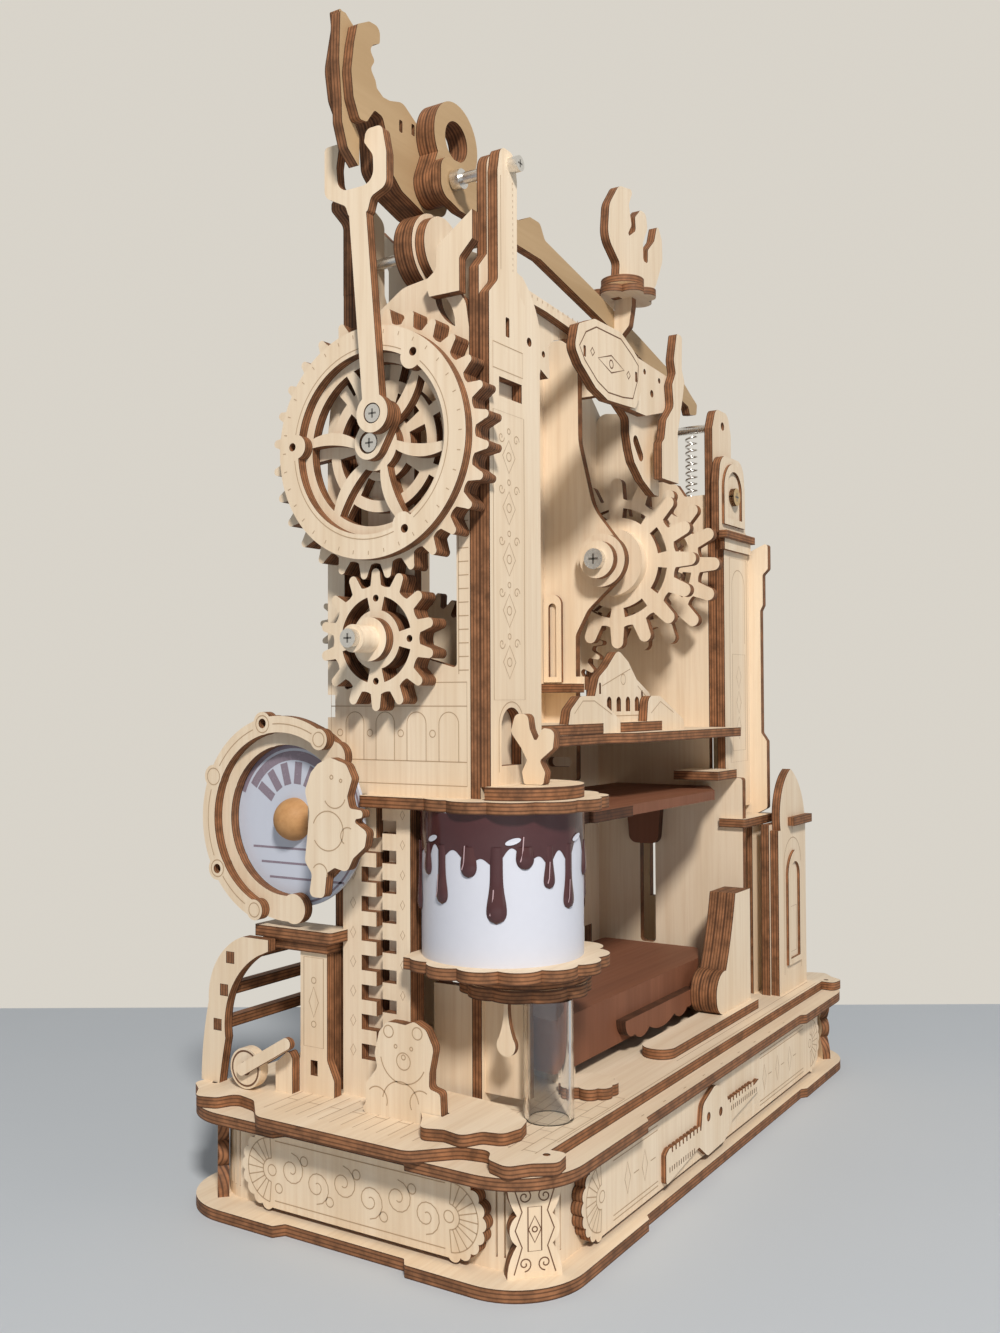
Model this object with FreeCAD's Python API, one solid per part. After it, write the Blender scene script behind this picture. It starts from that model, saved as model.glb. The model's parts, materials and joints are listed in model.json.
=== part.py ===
import FreeCAD, Part
import math
import os

# Wooden printing press model, millimetres.
# The origin is the centre of the base's underside: +X runs along the long side to the right,
# the front is -Y and +Z is up. Almost every piece is flat plywood, named by the axis it faces.

# Driving dimensions
PLY = 3.0
BASE_LENGTH = 230.0
BASE_WIDTH = 116.3
BASE_CORNER = 18.75
END_INSET = 2.6
SIDE_INSET = 1.5
BASE_HEIGHT = 24.7
DECK_TOP = BASE_HEIGHT + 2 * PLY
LEFT_WALL = -93.0
INNER_WALL = -66.0
MIDDLE_PLATE = 18.0
RIGHT_WALL = 57.0
OUTER_RIGHT_WALL = 80.0
TOWER_FRONT = -25.0
TOWER_BACK = 20.7
GALLERY = 107.0
SHELF = 121.5
POST_TOP = 274.0

# Gear train: axis positions are (Y, Z), every axis runs along X
WHEEL_AXIS = (-0.5, 200.0)
PINION_AXIS = (-0.5, 150.0)
CROSS_AXIS = (24.0, 156.0)
GEAR_AXIS = (-6.0, 180.3)
WHEEL_TEETH = 28
PINION_TEETH = 14
CRANK_PIN = (-4.3, 206.4)
SHAFT_R = 1.5
RUNNING_GAP = 0.06
MOVING_GAP = 0.3
GEAR_BACK = -93.5
ROD_FRONT = GEAR_BACK - 4 * PLY - MOVING_GAP - 0.1

# Lever, whose axis runs along Y at (X, Z)
LEVER_PIVOT = (-82.3, 271.2)
EYE_CENTRE = (-76.4, 284.6)
LEVER_BACK = 4.8
DISC_AXIS = (-82.6, 253.5)

# Platen guides
SLOT_Y = -2.0
SLOT_WIDTH = 6.0
PLATEN_BOTTOM = 101.0
PLATEN_TRAVEL = 30.0
GUIDE_PIN_R = 2.2

# Window dial, brayer and ink stand
DIAL_AXIS = (30.5, 102.5)
ROLLER_AXIS = (40.2, 36.4)
CUP_AXIS = (-79.0, -25.5)
CUP_R = 20.8

# Return spring
SPRING_AXIS = (64.2, -17.0)
SPRING_BOTTOM = 200.0
SPRING_TOP = 229.1
SPRING_RADIUS = 1.9
WIRE_R = 0.35
SPRING_TURNS = 12

os.makedirs("parts", exist_ok=True)


# Outlines are lists of segments: lines (p, q) and arcs (p, middle, q) in plane coordinates
def polar(u, v, radius, degrees):
    turn = math.radians(degrees)
    return (u + radius * math.cos(turn), v + radius * math.sin(turn))


def rounded(points):
    """Closed outline through (u, v) or (u, v, corner radius) points."""
    corners = []
    count = len(points)
    for index, point in enumerate(points):
        here = FreeCAD.Vector(point[0], point[1], 0)
        radius = point[2] if len(point) > 2 else 0.0
        before = points[index - 1]
        after = points[(index + 1) % count]
        to_before = (FreeCAD.Vector(before[0], before[1], 0) - here).normalize()
        to_after = (FreeCAD.Vector(after[0], after[1], 0) - here).normalize()
        opening = to_before.getAngle(to_after)
        if radius == 0.0 or opening > math.pi - 0.01:
            corners.append(((here.x, here.y), None, (here.x, here.y)))
            continue
        room = min(math.dist(before[:2], point[:2]), math.dist(after[:2], point[:2])) / 2
        reach = min(radius / math.tan(opening / 2), room)
        radius = reach * math.tan(opening / 2)
        middle = (to_before + to_after).normalize()
        start = here + to_before * reach
        end = here + to_after * reach
        top = here + middle * (radius / math.sin(opening / 2) - radius)
        corners.append(((start.x, start.y), (top.x, top.y), (end.x, end.y)))
    segments = []
    for index, (start, top, end) in enumerate(corners):
        previous_end = corners[index - 1][2]
        if math.dist(previous_end, start) > 1e-4:
            segments.append((previous_end, start))
        if top:
            segments.append((start, top, end))
    return segments


def disc(u, v, radius):
    left, right = (u - radius, v), (u + radius, v)
    return [(left, (u, v + radius), right), (right, (u, v - radius), left)]


def box(u0, v0, u1, v1, radius=0.0):
    return rounded([(u0, v0, radius), (u1, v0, radius), (u1, v1, radius), (u0, v1, radius)])


def capsule(start, end, radius):
    heading = math.degrees(math.atan2(end[1] - start[1], end[0] - start[0]))
    a = polar(*start, radius, heading + 90)
    b = polar(*start, radius, heading - 90)
    c = polar(*end, radius, heading - 90)
    d = polar(*end, radius, heading + 90)
    return [(a, polar(*start, radius, heading + 180), b), (b, c), (c, polar(*end, radius, heading), d),
            (d, a)]


def scalloped(u, v, radius, lobes, depth, phase=0.0):
    """Round outline of equal outward lobes."""
    step = 360.0 / lobes
    segments = []
    for lobe in range(lobes):
        start = phase + lobe * step
        segments.append((polar(u, v, radius - depth, start), polar(u, v, radius, start + step / 2),
                         polar(u, v, radius - depth, start + step)))
    return segments


def finger_gear(axis, teeth, root, tip, base_width, tip_width, tooth_at):
    """Gear outline with rounded finger teeth; one tooth points at tooth_at degrees."""
    step = 360.0 / teeth
    base_turn = math.degrees(math.asin(base_width / 2 / root))
    shoulder = math.hypot(tip - tip_width / 2, tip_width / 2)
    tip_turn = math.degrees(math.atan2(tip_width / 2, tip - tip_width / 2))
    segments = []
    for tooth in range(teeth):
        centre = tooth_at + tooth * step
        rise = polar(*axis, root, centre - base_turn)
        left = polar(*axis, shoulder, centre - tip_turn)
        right = polar(*axis, shoulder, centre + tip_turn)
        fall = polar(*axis, root, centre + base_turn)
        following = polar(*axis, root, centre + step - base_turn)
        segments += [(rise, left), (left, polar(*axis, tip, centre), right), (right, fall),
                     (fall, polar(*axis, root - 0.35, centre + step / 2), following)]
    return segments


def arc_window(axis, inner, outer, start, end, lean=0.0, taper=0.0):
    """Window between two radii; its sides lean half way out and draw in by taper at the inner end."""
    middle = (start + end) / 2
    half = (inner + outer) / 2
    a, b = polar(*axis, inner, start + taper), polar(*axis, outer, start)
    c, d = polar(*axis, outer, end), polar(*axis, inner, end - taper)
    rise = (a, polar(*axis, half, start + taper / 2 + lean), b) if lean else (a, b)
    fall = (c, polar(*axis, half, end - taper / 2 + lean), d) if lean else (c, d)
    return [rise, (b, polar(*axis, outer, middle), c), fall, (d, polar(*axis, inner, middle), a)]


def arched(u0, u1, bottom, top):
    """Upright window with a half-round head."""
    radius = (u1 - u0) / 2
    left, right = (u0, top - radius), (u1, top - radius)
    return [((u0, bottom), (u1, bottom)), ((u1, bottom), right), (right, ((u0 + u1) / 2, top), left),
            (left, (u0, bottom))]


# Solids from outlines
def in_space(facing, u, v, depth):
    if facing == "X":
        return FreeCAD.Vector(depth, u, v)
    if facing == "Y":
        return FreeCAD.Vector(u, depth, v)
    return FreeCAD.Vector(u, v, depth)


def wire(facing, depth, outline):
    edges = []
    for segment in outline:
        points = [in_space(facing, u, v, depth) for u, v in segment]
        if len(points) == 3:
            edges.append(Part.Arc(*points).toShape())
        else:
            edges.append(Part.makeLine(*points))
    return Part.Wire(edges)


def plate(facing, start, outline, holes=(), thickness=PLY):
    """Flat piece that starts at one coordinate and grows along the axis it faces."""
    wires = [wire(facing, start, outline)] + [wire(facing, start, hole) for hole in holes]
    face = Part.makeFace(wires, "Part::FaceMakerBullseye")
    return face.extrude(in_space(facing, 0, 0, thickness))


def block(x0, x1, y0, y1, z0, z1):
    return Part.makeBox(x1 - x0, y1 - y0, z1 - z0, FreeCAD.Vector(x0, y0, z0))


def rod(facing, start, end, u, v, radius):
    return Part.makeCylinder(radius, end - start, in_space(facing, u, v, start), in_space(facing, 0, 0, 1))


def tube(facing, start, end, u, v, radius, bore):
    return rod(facing, start, end, u, v, radius).cut(rod(facing, start - 1, end + 1, u, v, bore))


def dome(facing, base, u, v, radius):
    """Half ball that bulges towards the negative side of its axis."""
    return Part.makeSphere(radius, in_space(facing, u, v, base), in_space(facing, 0, 0, -1), 0, 90, 360)


def save(name, *pieces):
    shape = pieces[0] if len(pieces) == 1 else Part.makeCompound(list(pieces))
    shape.exportStep("parts/" + name + ".step")


# Base
def base_outline(margin=0.0):
    """Rounded rectangle whose long sides and ends step in around their middles."""
    half_x = BASE_LENGTH / 2 - margin
    half_y = BASE_WIDTH / 2 - margin
    step_x, step_y = 62.0, 20.5
    r = BASE_CORNER - margin
    lip = 0.7
    quarter = [(half_x, -step_y, lip), (half_x, -half_y, r), (step_x, -half_y, lip),
               (step_x - 2, -half_y + SIDE_INSET, lip)]
    points = list(quarter)
    points += [(-u, v, *c) for u, v, *c in reversed(quarter)]
    points.append((-half_x + END_INSET, -step_y + 2, lip))
    points.append((-half_x + END_INSET, step_y - 2, lip))
    points += [(-u, -v, *c) for u, v, *c in quarter]
    points += [(u, -v, *c) for u, v, *c in reversed(quarter)]
    points.append((half_x - END_INSET, step_y - 2, lip))
    points.append((half_x - END_INSET, -step_y + 2, lip))
    return rounded(points)


def upper_deck_outline():
    """Deck board with a straight recessed front, wide ends and three-lobed clover corners."""
    front = -51.3
    side = BASE_LENGTH / 2 - 10.5
    end = BASE_LENGTH / 2 + 3.0
    half = [(0, front), (side - 4.5, front), (side - 5.0, front - 4.5, 2.2), (side + 1.5, front - 5.5, 2.6),
            (side + 5.0, front - 0.5, 2.2), (side + 9.8, front + 3.2, 2.6), (side + 8.0, front + 9.0, 2.4),
            (side + 3.0, front + 11.5, 3.0), (side + 4.5, front + 19.0, 5.0), (end, front + 28.0, 5.0)]
    right_front = half[1:]
    points = list(right_front)
    points += [(u, -v, *c) for u, v, *c in reversed(right_front)]
    points += [(-u, -v, *c) for u, v, *c in right_front]
    points += [(-u, v, *c) for u, v, *c in reversed(right_front)]
    return rounded(points)


WALL_X = BASE_LENGTH / 2 - 9.0
WALL_Y = BASE_WIDTH / 2 - 7.0
STRIP_R = 13.0


def base():
    save("base_bottom_plate", plate("Z", 0, base_outline()))
    save("deck_lower", plate("Z", BASE_HEIGHT, base_outline()))
    corner_holes = [disc(sx * (BASE_LENGTH / 2 - 12), sy * 52.0, 0.9) for sx in (-1, 1) for sy in (-1, 1)]
    save("deck_upper", plate("Z", BASE_HEIGHT + PLY, upper_deck_outline(), corner_holes))
    walls = []
    straight_x = WALL_X - STRIP_R
    straight_y = WALL_Y - STRIP_R
    for side in (-1, 1):
        y_near = side * WALL_Y if side > 0 else side * WALL_Y + PLY
        walls.append(block(-straight_x, straight_x, y_near - PLY, y_near, PLY, BASE_HEIGHT))
        x_near = side * WALL_X if side > 0 else side * WALL_X + PLY
        walls.append(block(x_near - PLY, x_near, -straight_y, straight_y, PLY, BASE_HEIGHT))
        walls += [corner_strip(side, other) for other in (-1, 1)]
    save("base_walls", *walls)
    corners = [corner_ornament(sx, sy) for sx in (-1, 1) for sy in (-1, 1)]
    save("base_ornaments", *base_panels(), *corners)


def corner_strip(side_x, side_y):
    """Quarter-round wall, slit by upright saw cuts so that it bends."""
    centre = (side_x * (WALL_X - STRIP_R), side_y * (WALL_Y - STRIP_R))
    start = {(1, 1): 0, (-1, 1): 90, (-1, -1): 180, (1, -1): 270}[(side_x, side_y)]
    ring = tube("Z", PLY, BASE_HEIGHT, *centre, STRIP_R, STRIP_R - PLY)
    reach = 2 * STRIP_R
    wedge = [centre, polar(*centre, reach, start), polar(*centre, reach, start + 90)]
    strip = ring.common(plate("Z", PLY, rounded(wedge), thickness=BASE_HEIGHT - PLY))
    for cut in range(9):
        angle = start + 9 + cut * 9
        slit = block(STRIP_R - 1.2, STRIP_R + 1, -0.25, 0.25, PLY + 3.0, BASE_HEIGHT - 3.0)
        slit.rotate(FreeCAD.Vector(0, 0, 0), FreeCAD.Vector(0, 0, 1), angle)
        slit.translate(FreeCAD.Vector(centre[0], centre[1], 0))
        strip = strip.cut(slit)
    return strip


def corner_ornament(side_x, side_y):
    """Waisted bracket that stands in front of the slatted corner."""
    low, high = PLY, BASE_HEIGHT
    half_wide, waist = 6.5, 4.2
    outline = [((-half_wide, low), (half_wide, low)),
               ((half_wide, low), (half_wide - 0.6, low + 4), (waist, low + 7.5)),
               ((waist, low + 7.5), (waist + 1.7, (low + high) / 2), (waist, high - 7.5)),
               ((waist, high - 7.5), (half_wide - 0.6, high - 4), (half_wide, high)),
               ((half_wide, high), (-half_wide, high)),
               ((-half_wide, high), (-half_wide + 0.6, high - 4), (-waist, high - 7.5)),
               ((-waist, high - 7.5), (-waist - 1.7, (low + high) / 2), (-waist, low + 7.5)),
               ((-waist, low + 7.5), (-half_wide + 0.6, low + 4), (-half_wide, low))]
    piece = plate("Y", -PLY, outline)
    heading = math.degrees(math.atan2(side_y, side_x)) + 90
    piece.rotate(FreeCAD.Vector(0, 0, 0), FreeCAD.Vector(0, 0, 1), heading)
    reach = STRIP_R + 0.3
    centre = (side_x * (WALL_X - STRIP_R), side_y * (WALL_Y - STRIP_R))
    place = polar(*centre, reach, math.degrees(math.atan2(side_y, side_x)))
    piece.translate(FreeCAD.Vector(place[0], place[1], 0))
    return piece


def cartouche(half_length, low, high):
    """Long plate whose ends are half-round and scalloped like a shell."""
    middle = (low + high) / 2
    radius = (high - low) / 2
    lobes = 9
    segments = []
    for side in (1, -1):
        centre = (side * (half_length - radius), middle)
        first = -90 if side > 0 else 90
        step = 180.0 / lobes
        for lobe in range(lobes):
            start = first + lobe * step
            segments.append((polar(*centre, radius, start), polar(*centre, radius + 0.9, start + step / 2),
                             polar(*centre, radius, start + step)))
        top = high if side > 0 else low
        segments.append(((side * (half_length - radius), top), (-side * (half_length - radius), top)))
    return segments


def shifted(outline, du, dv):
    return [tuple((u + du, v + dv) for u, v in segment) for segment in outline]


def base_panels():
    low, high = 4.4, 23.4
    end_half, side_half = 37.0, 88.0
    end_plate = shifted(cartouche(end_half, low, high), -1.5, 0)
    side_plate = shifted(cartouche(side_half, low, high), -1.5, 0)
    panels = [plate("X", -WALL_X - PLY, end_plate), plate("X", WALL_X, end_plate),
              plate("Y", -WALL_Y - PLY, side_plate), plate("Y", WALL_Y, side_plate)]
    panels.append(plate("Y", -WALL_Y - 1.5 * PLY, tool_outline(), [disc(-17, 15.5, 1.3), disc(-8, 14.5, 1.3)],
                        thickness=0.5 * PLY))
    return panels


def tool_outline():
    """Pair of adjustable grips: a round head with a comb-toothed jaw on each side."""
    pitch = 2.4
    points = [(-46, 5.5, 1), (-46, 13.5, 1)]
    for tooth in range(9):
        u = -44 + tooth * pitch
        points += [(u, 14.6), (u + pitch * 0.6, 14.6), (u + pitch * 0.7, 13.2), (u + pitch, 13.2)]
    points += [(-21, 20, 3), (-12, 23.2, 4), (-4, 20, 3)]
    for tooth in range(9):
        u = -2.5 + tooth * pitch
        points += [(u, 16.2), (u + pitch * 0.6, 16.2), (u + pitch * 0.7, 15.0), (u + pitch, 15.0)]
    points += [(24, 16, 1), (24, 12.5, 1), (1, 9.5, 2), (-5, 5.2, 3), (-18, 4.8, 3), (-24, 9, 2)]
    return rounded(points)


# Small figures and ornaments on the deck and towers
def animal_figures():
    """A sitting bear on the deck and a sitting animal on the window ring, both plain silhouettes."""
    bear = rounded([(3.0, DECK_TOP, 1), (1.2, 33.8, 1), (1.9, 37.5, 2), (-2.3, 42.5, 2), (-1.4, 46, 1.5),
                    (-2.8, 51.5, 1.5), (-5.2, 54.3, 1.5), (-8.0, 54.4, 1), (-11.0, 54.2, 1),
                    (-13.6, 55.4, 1.5), (-17.2, 53.8, 2), (-19.5, 49.5, 3), (-18.2, 43.5, 2),
                    (-18.1, 39.7, 1), (-21.4, 39.0, 1.2), (-21.8, DECK_TOP, 1)])
    seated = rounded([(12.0, 118.4, 1.5), (8.0, 120.2, 2), (2.7, 118.6, 2), (0.8, 115, 1.5), (2.4, 110.5, 2),
                      (1.6, 107.6, 1), (-2.6, 107.2, 1), (-2.4, 105.4, 0.8), (1.0, 104.8, 1),
                      (-3.9, 102.0, 1.5), (-3.2, 98.2, 1.5), (0.5, 95.2, 2), (2.4, 91.6, 2), (6.4, 92.5, 1),
                      (9.0, 91.0, 1), (9.8, 84.6, 1.5), (14.8, 84.6, 1.5), (13.8, 90.5, 2), (16.2, 93.5, 2),
                      (14.6, 106, 6), (16.2, 111.5, 3), (14.2, 116.2, 2)])
    backing = rounded([(13.5, 87, 2), (17.6, 92.5, 3), (17.8, 112.5, 4), (12.5, 117, 3), (9, 112, 2),
                       (8, 92, 3)])
    return [plate("X", -101.5, bear), plate("X", -107.6, seated), plate("X", -104.6, backing)]


def small_ornaments():
    """Little blossom on the lid and the wooden drop that hangs beside the tube."""
    petals = shifted(rounded([(-29.5, 113.4, 0.8), (-35.0, 113.4, 0.8), (-35.6, 116.5, 1.2),
                              (-34.0, 119.4, 0.8), (-37.8, 122.4, 1.2), (-38.4, 127.0, 1.6),
                              (-35.0, 127.6, 1.2), (-32.8, 123.8, 0.6), (-31.2, 127.2, 0.8),
                              (-30.6, 131.0, 1.6), (-27.0, 131.0, 1.6), (-25.6, 126.4, 1.8),
                              (-28.6, 122.6, 1.0), (-30.4, 119.4, 0.8), (-28.9, 116.5, 1.2)]), -5.7, 0)
    drop = [((-0.6, 60.4), (0.6, 60.4)), ((0.6, 60.4), (0.9, 55.5), (2.1, 51.4)),
            ((2.1, 51.4), (0, 47.0), (-2.1, 51.4)), ((-2.1, 51.4), (-0.9, 55.5), (-0.6, 60.4))]
    return [plate("X", -84.2, petals), plate("X", -90.3, shifted(drop, -33.3, 0), thickness=1.5)]


def cloud_plate():
    outline = rounded([(-110.8, -22.0, 2.4), (-108.8, -27.5, 2.0), (-110.0, -33.2, 2.6), (-105.2, -36.0, 2.2),
                       (-104.0, -41.0, 2.6), (-98.6, -42.6, 2.2), (-93.0, -41.0, 3.5), (-86.2, -30.0, 3),
                       (-84.4, -12.0, 2), (-90.0, -7.4, 2.6), (-96.0, -11.0, 2), (-104.5, -18.2, 2)])
    bear_slot = block(-101.6, -98.4, -22.2, 1, DECK_TOP - 1, DECK_TOP + PLY + 1)
    return plate("Z", DECK_TOP, outline).cut(bear_slot)


# Left tower
def left_tower():
    outer = rounded([(-25, GALLERY + PLY), (20.7, GALLERY + PLY), (20.7, 118), (18.2, 118), (18.2, 123),
                     (20.7, 123), (20.7, 130), (18.2, 130), (18.2, 136), (20.7, 136), (20.7, 205),
                     (18.2, 226, 5), (4, 236, 5), (-4.5, 241.4, 8), (-16.0, 243.0, 8), (-24.0, 235, 5),
                     (-25, 228)])
    opening_front = rounded([(-21.0, 142.5, 1), (-8.0, 146.0, 1), (-8.0, 221.5, 3), (-14, 223.5, 3),
                             (-21.0, 220, 3)])
    crescent = [((-14.5, 239.0), (-15.9, 233.6), (-20.8, 228.8)),
                ((-20.8, 228.8), (-19.4, 234.6), (-14.5, 239.0))]
    opening_back = rounded([(7.0, 140.0, 1), (15.0, 137.0, 1), (15.0, 205, 3), (11.5, 224, 3), (7.0, 226, 1)])
    bearings = [disc(*WHEEL_AXIS, SHAFT_R + RUNNING_GAP), disc(*PINION_AXIS, SHAFT_R + RUNNING_GAP)]
    save("left_outer_wall", plate("X", LEFT_WALL, outer, [opening_front, opening_back, crescent] + bearings))

    cup_notch = -8.8
    back = TOWER_BACK - PLY
    inner = rounded([(-17.8, DECK_TOP), (back, DECK_TOP), (back, 148), (30, 148, 4), (30, 164, 4),
                     (back, 164), (back, 243.6), (20.5, 243.6), (20.5, 258.5, 2), (25.5, 263.9, 1),
                     (25.5, 272.6, 1), (13.5, 260.5, 4), (-8, 258.6, 3), (-12, 256.5, 2), (-14, 242, 4),
                     (-18, 231, 4), (TOWER_FRONT, 228, 4), (TOWER_FRONT, GALLERY + PLY),
                     (cup_notch, GALLERY + PLY), (cup_notch, 60.4, 2), (-17.8, 60.4)])
    low = PLATEN_BOTTOM - PLATEN_TRAVEL - 14 - SLOT_WIDTH / 2
    slot = box(SLOT_Y - SLOT_WIDTH / 2, low, SLOT_Y + SLOT_WIDTH / 2, 91, 1.5)
    window = arched(-19, 12, 161, 190)
    inner_bearings = [disc(*PINION_AXIS, SHAFT_R + RUNNING_GAP), disc(*CROSS_AXIS, SHAFT_R + RUNNING_GAP),
                      disc(*WHEEL_AXIS, SHAFT_R + RUNNING_GAP)]
    save("left_inner_wall", plate("X", INNER_WALL, inner, [slot, window] + inner_bearings))

    save("left_rack_wall", *rack_wall())
    save("gallery_board", gallery_board(), lid_disc())
    front = [((-93, GALLERY + PLY), (-63, GALLERY + PLY)), ((-63, GALLERY + PLY), (-63, 222)),
             ((-63, 222), (-64.5, 238), (-72, 246)), ((-72, 246), (-78, 249), (-79.4, 254)),
             ((-79.4, 254), (-79.4, POST_TOP - 4.9)),
             ((-79.4, POST_TOP - 4.9), (-84.3, POST_TOP), (-89.2, POST_TOP - 4.9)),
             ((-89.2, POST_TOP - 4.9), (-89.2, 247)), ((-89.2, 247), (-93, 243)),
             ((-93, 243), (-93, GALLERY + PLY))]
    pin_hole = disc(*LEVER_PIVOT, SHAFT_R)
    ornament = [disc(-68.5, 229.5, 1.2), disc(-71.5, 234.5, 0.9)]
    save("left_front_post", plate("Y", TOWER_FRONT - PLY, front, [pin_hole] + ornament))
    overlay = rounded([(-93, 113), (-75, 113), (-75, 236, 1), (-79.6, 240, 2), (-79.4, 268, 0),
                       (-80.6, 274.6, 3), (-87.4, 274.6, 3), (-88.8, 268, 0), (-88.8, 240, 2), (-93, 236, 1)])
    mortises = [box(-85.2, 226.5, -83.4, 231.5, 0.4), box(-88.5, 210.8, -77.5, 215.7)]
    niche = arched(-88, -78.5, 118, 132.6)
    save("left_post_overlay", plate("Y", TOWER_FRONT - 2 * PLY, overlay, [pin_hole, niche] + mortises))
    rear = rounded([(-93, GALLERY + PLY), (-76.5, GALLERY + PLY), (-76.5, 240, 4), (-79.5, 246, 2),
                    (-79.5, 266, 3), (-86, 269, 2), (-95, 268.5, 1.5), (-95, 265.5, 1), (-90, 263, 2),
                    (-90, 205)])
    rear_plies = [plate("Y", TOWER_BACK - ply * PLY, rear) for ply in (3, 2)]
    save("left_rear_post", *[ply.cut(block(-94, -89.9, 5, 25, GALLERY, 244)) for ply in rear_plies])
    save("left_brace", *brace())


def rack_wall():
    """Lower side wall: a slotted backing with a notched strip on each side of the slot."""
    backing = box(-6.0, DECK_TOP, 16.0, GALLERY)
    slot = box(2.9, 40, 4.9, 100, 0.6)
    pitch = 7.7
    front_strip = [(4.9, DECK_TOP), (16.0, DECK_TOP), (16.0, GALLERY), (4.9, GALLERY)]
    for notch in range(8):
        top = 98.6 - notch * pitch
        front_strip += [(4.9, top), (9.8, top), (9.8, top - 4.0), (4.9, top - 4.0)]
    back_strip = [(-6.0, GALLERY), (-6.0, 50), (-1.5, 50), (-1.5, 43), (2.9, 43)]
    for notch in range(8):
        low = 46.0 + notch * pitch
        back_strip += [(2.9, low), (-1.6, low), (-1.6, low + 3.4), (2.9, low + 3.4)]
    back_strip += [(2.9, GALLERY)]
    return [plate("X", -89.5, backing, [slot]), plate("X", -92.5, rounded(front_strip)),
            plate("X", -92.5, rounded(back_strip))]


def gallery_board():
    """Board over the lower tower whose front end is the scalloped lid of the cup."""
    back = TOWER_BACK - PLY
    board = plate("Z", GALLERY, rounded([(-98, 6.9, 1.5), (-98, -14), (-66, -20), (-66, back), (-93, back),
                                         (-93, 6.9)]))
    lid = plate("Z", GALLERY, scalloped(-77.4, -27.8, 24.6, 12, 1.8, 15))
    wall_slot = block(INNER_WALL, INNER_WALL + PLY, -8.8, back + 1, GALLERY - 1, GALLERY + PLY + 1)
    return board.fuse(lid).cut(wall_slot).removeSplitter()


def lid_disc():
    """Round top board of the lid, cut straight where it meets the front post."""
    top = plate("Z", GALLERY + PLY, disc(-79.5, -31.0, 16.5), thickness=3.3)
    return top.cut(block(-97, -60, TOWER_FRONT - 2 * PLY, 0, GALLERY, 116))


def brace():
    """Bent strut from the tower's arch up to the front post, and a stack of discs on the tie rod."""
    strut = rounded([(-24.1, 236.5), (-24.1, 245.0, 1.5), (-28.0, 248.9), (-28.0, 256.2), (-21.7, 251.9, 1),
                     (-17.2, 249.0, 2.5), (-17.2, 243.0, 3), (-13.5, 240.6, 0.6), (-15.0, 236.5)])
    discs = [plate("Y", -10 + index * PLY, disc(*DISC_AXIS, radius), [disc(*DISC_AXIS, SHAFT_R)])
             for index, radius in enumerate((8.5, 9.8, 9.8))]
    return [plate("X", LEFT_WALL - PLY, strut)] + discs


def pivot_pins():
    """Lever pin with washers and head, the tie rod of the discs and the spring's pin."""
    u, v = LEVER_PIVOT
    lever_pin = rod("Y", -33.0, 5.4, u, v, SHAFT_R)
    head = rod("Y", -33.8, TOWER_FRONT - 2 * PLY, u, v, 2.0)
    washer = rod("Y", -16.2, -13.6, u, v, 2.6)
    tail = rod("Y", 5.2, 7.0, u, v, 2.6)
    tie_rod = rod("Y", TOWER_FRONT, TOWER_BACK - 3 * PLY, *DISC_AXIS, SHAFT_R)
    spring_pin = rod("Y", -26.0, -11.5, SPRING_AXIS[0], 231.0, SHAFT_R)
    spring_head = rod("Y", -11.5, -9.8, SPRING_AXIS[0], 231.0, 2.2)
    return [lever_pin.fuse(head).fuse(washer).fuse(tail).removeSplitter(), tie_rod,
            spring_pin.fuse(spring_head).removeSplitter()]


# Window ring, dial, letter rack and brayer at the left end
def ring_outline(outer, inner, start, end, lobes):
    """Open ring with round ends and small round lobes on its outside."""
    middle = (start + end) / 2
    radius = (outer + inner) / 2
    band = plate("X", 0, [(polar(*DIAL_AXIS, outer, start), polar(*DIAL_AXIS, outer, middle),
                           polar(*DIAL_AXIS, outer, end)),
                          (polar(*DIAL_AXIS, outer, end), polar(*DIAL_AXIS, inner, end)),
                          (polar(*DIAL_AXIS, inner, end), polar(*DIAL_AXIS, inner, middle),
                           polar(*DIAL_AXIS, inner, start)),
                          (polar(*DIAL_AXIS, inner, start), polar(*DIAL_AXIS, outer, start))])
    for turn in (start, end):
        band = band.fuse(plate("X", 0, disc(*polar(*DIAL_AXIS, radius, turn), (outer - inner) / 2 + 0.6)))
    for turn in lobes:
        band = band.fuse(plate("X", 0, disc(*polar(*DIAL_AXIS, radius + 0.8, turn),
                                            (outer - inner) / 2 + 0.9)))
    return band.removeSplitter()


def window_ring():
    lobes = (25, 77, 328)
    front = ring_outline(28.0, 23.6, -70, 122, lobes)
    for turn in (77, 328):
        front = front.cut(rod("X", -1, PLY + 1, *polar(*DIAL_AXIS, 26.6, turn), 1.3))
    front.translate(FreeCAD.Vector(-101.5, 0, 0))
    rear = ring_outline(27.0, 20.2, -96, 133, lobes)
    rear.translate(FreeCAD.Vector(-98.5, 0, 0))
    return [front, rear]


def window_dial():
    face = rod("X", -95.1, -94.1, *DIAL_AXIS, 23.5)
    knob = dome("X", -95.1, *DIAL_AXIS, 5.8)
    return [face, knob]


def ring_ledge():
    ledge = plate("Z", 71, rounded([(-99.5, 41.3, 1), (-99.5, 14.4, 1), (-92.6, 14.4), (-92.6, 16.3),
                                    (-90, 16.3), (-90, 41.3, 1)]))
    riser = plate("Z", 68, rounded([(-98, 39.3), (-98, 17), (-90, 17), (-90, 39.3)]))
    return [ledge, riser]


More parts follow.
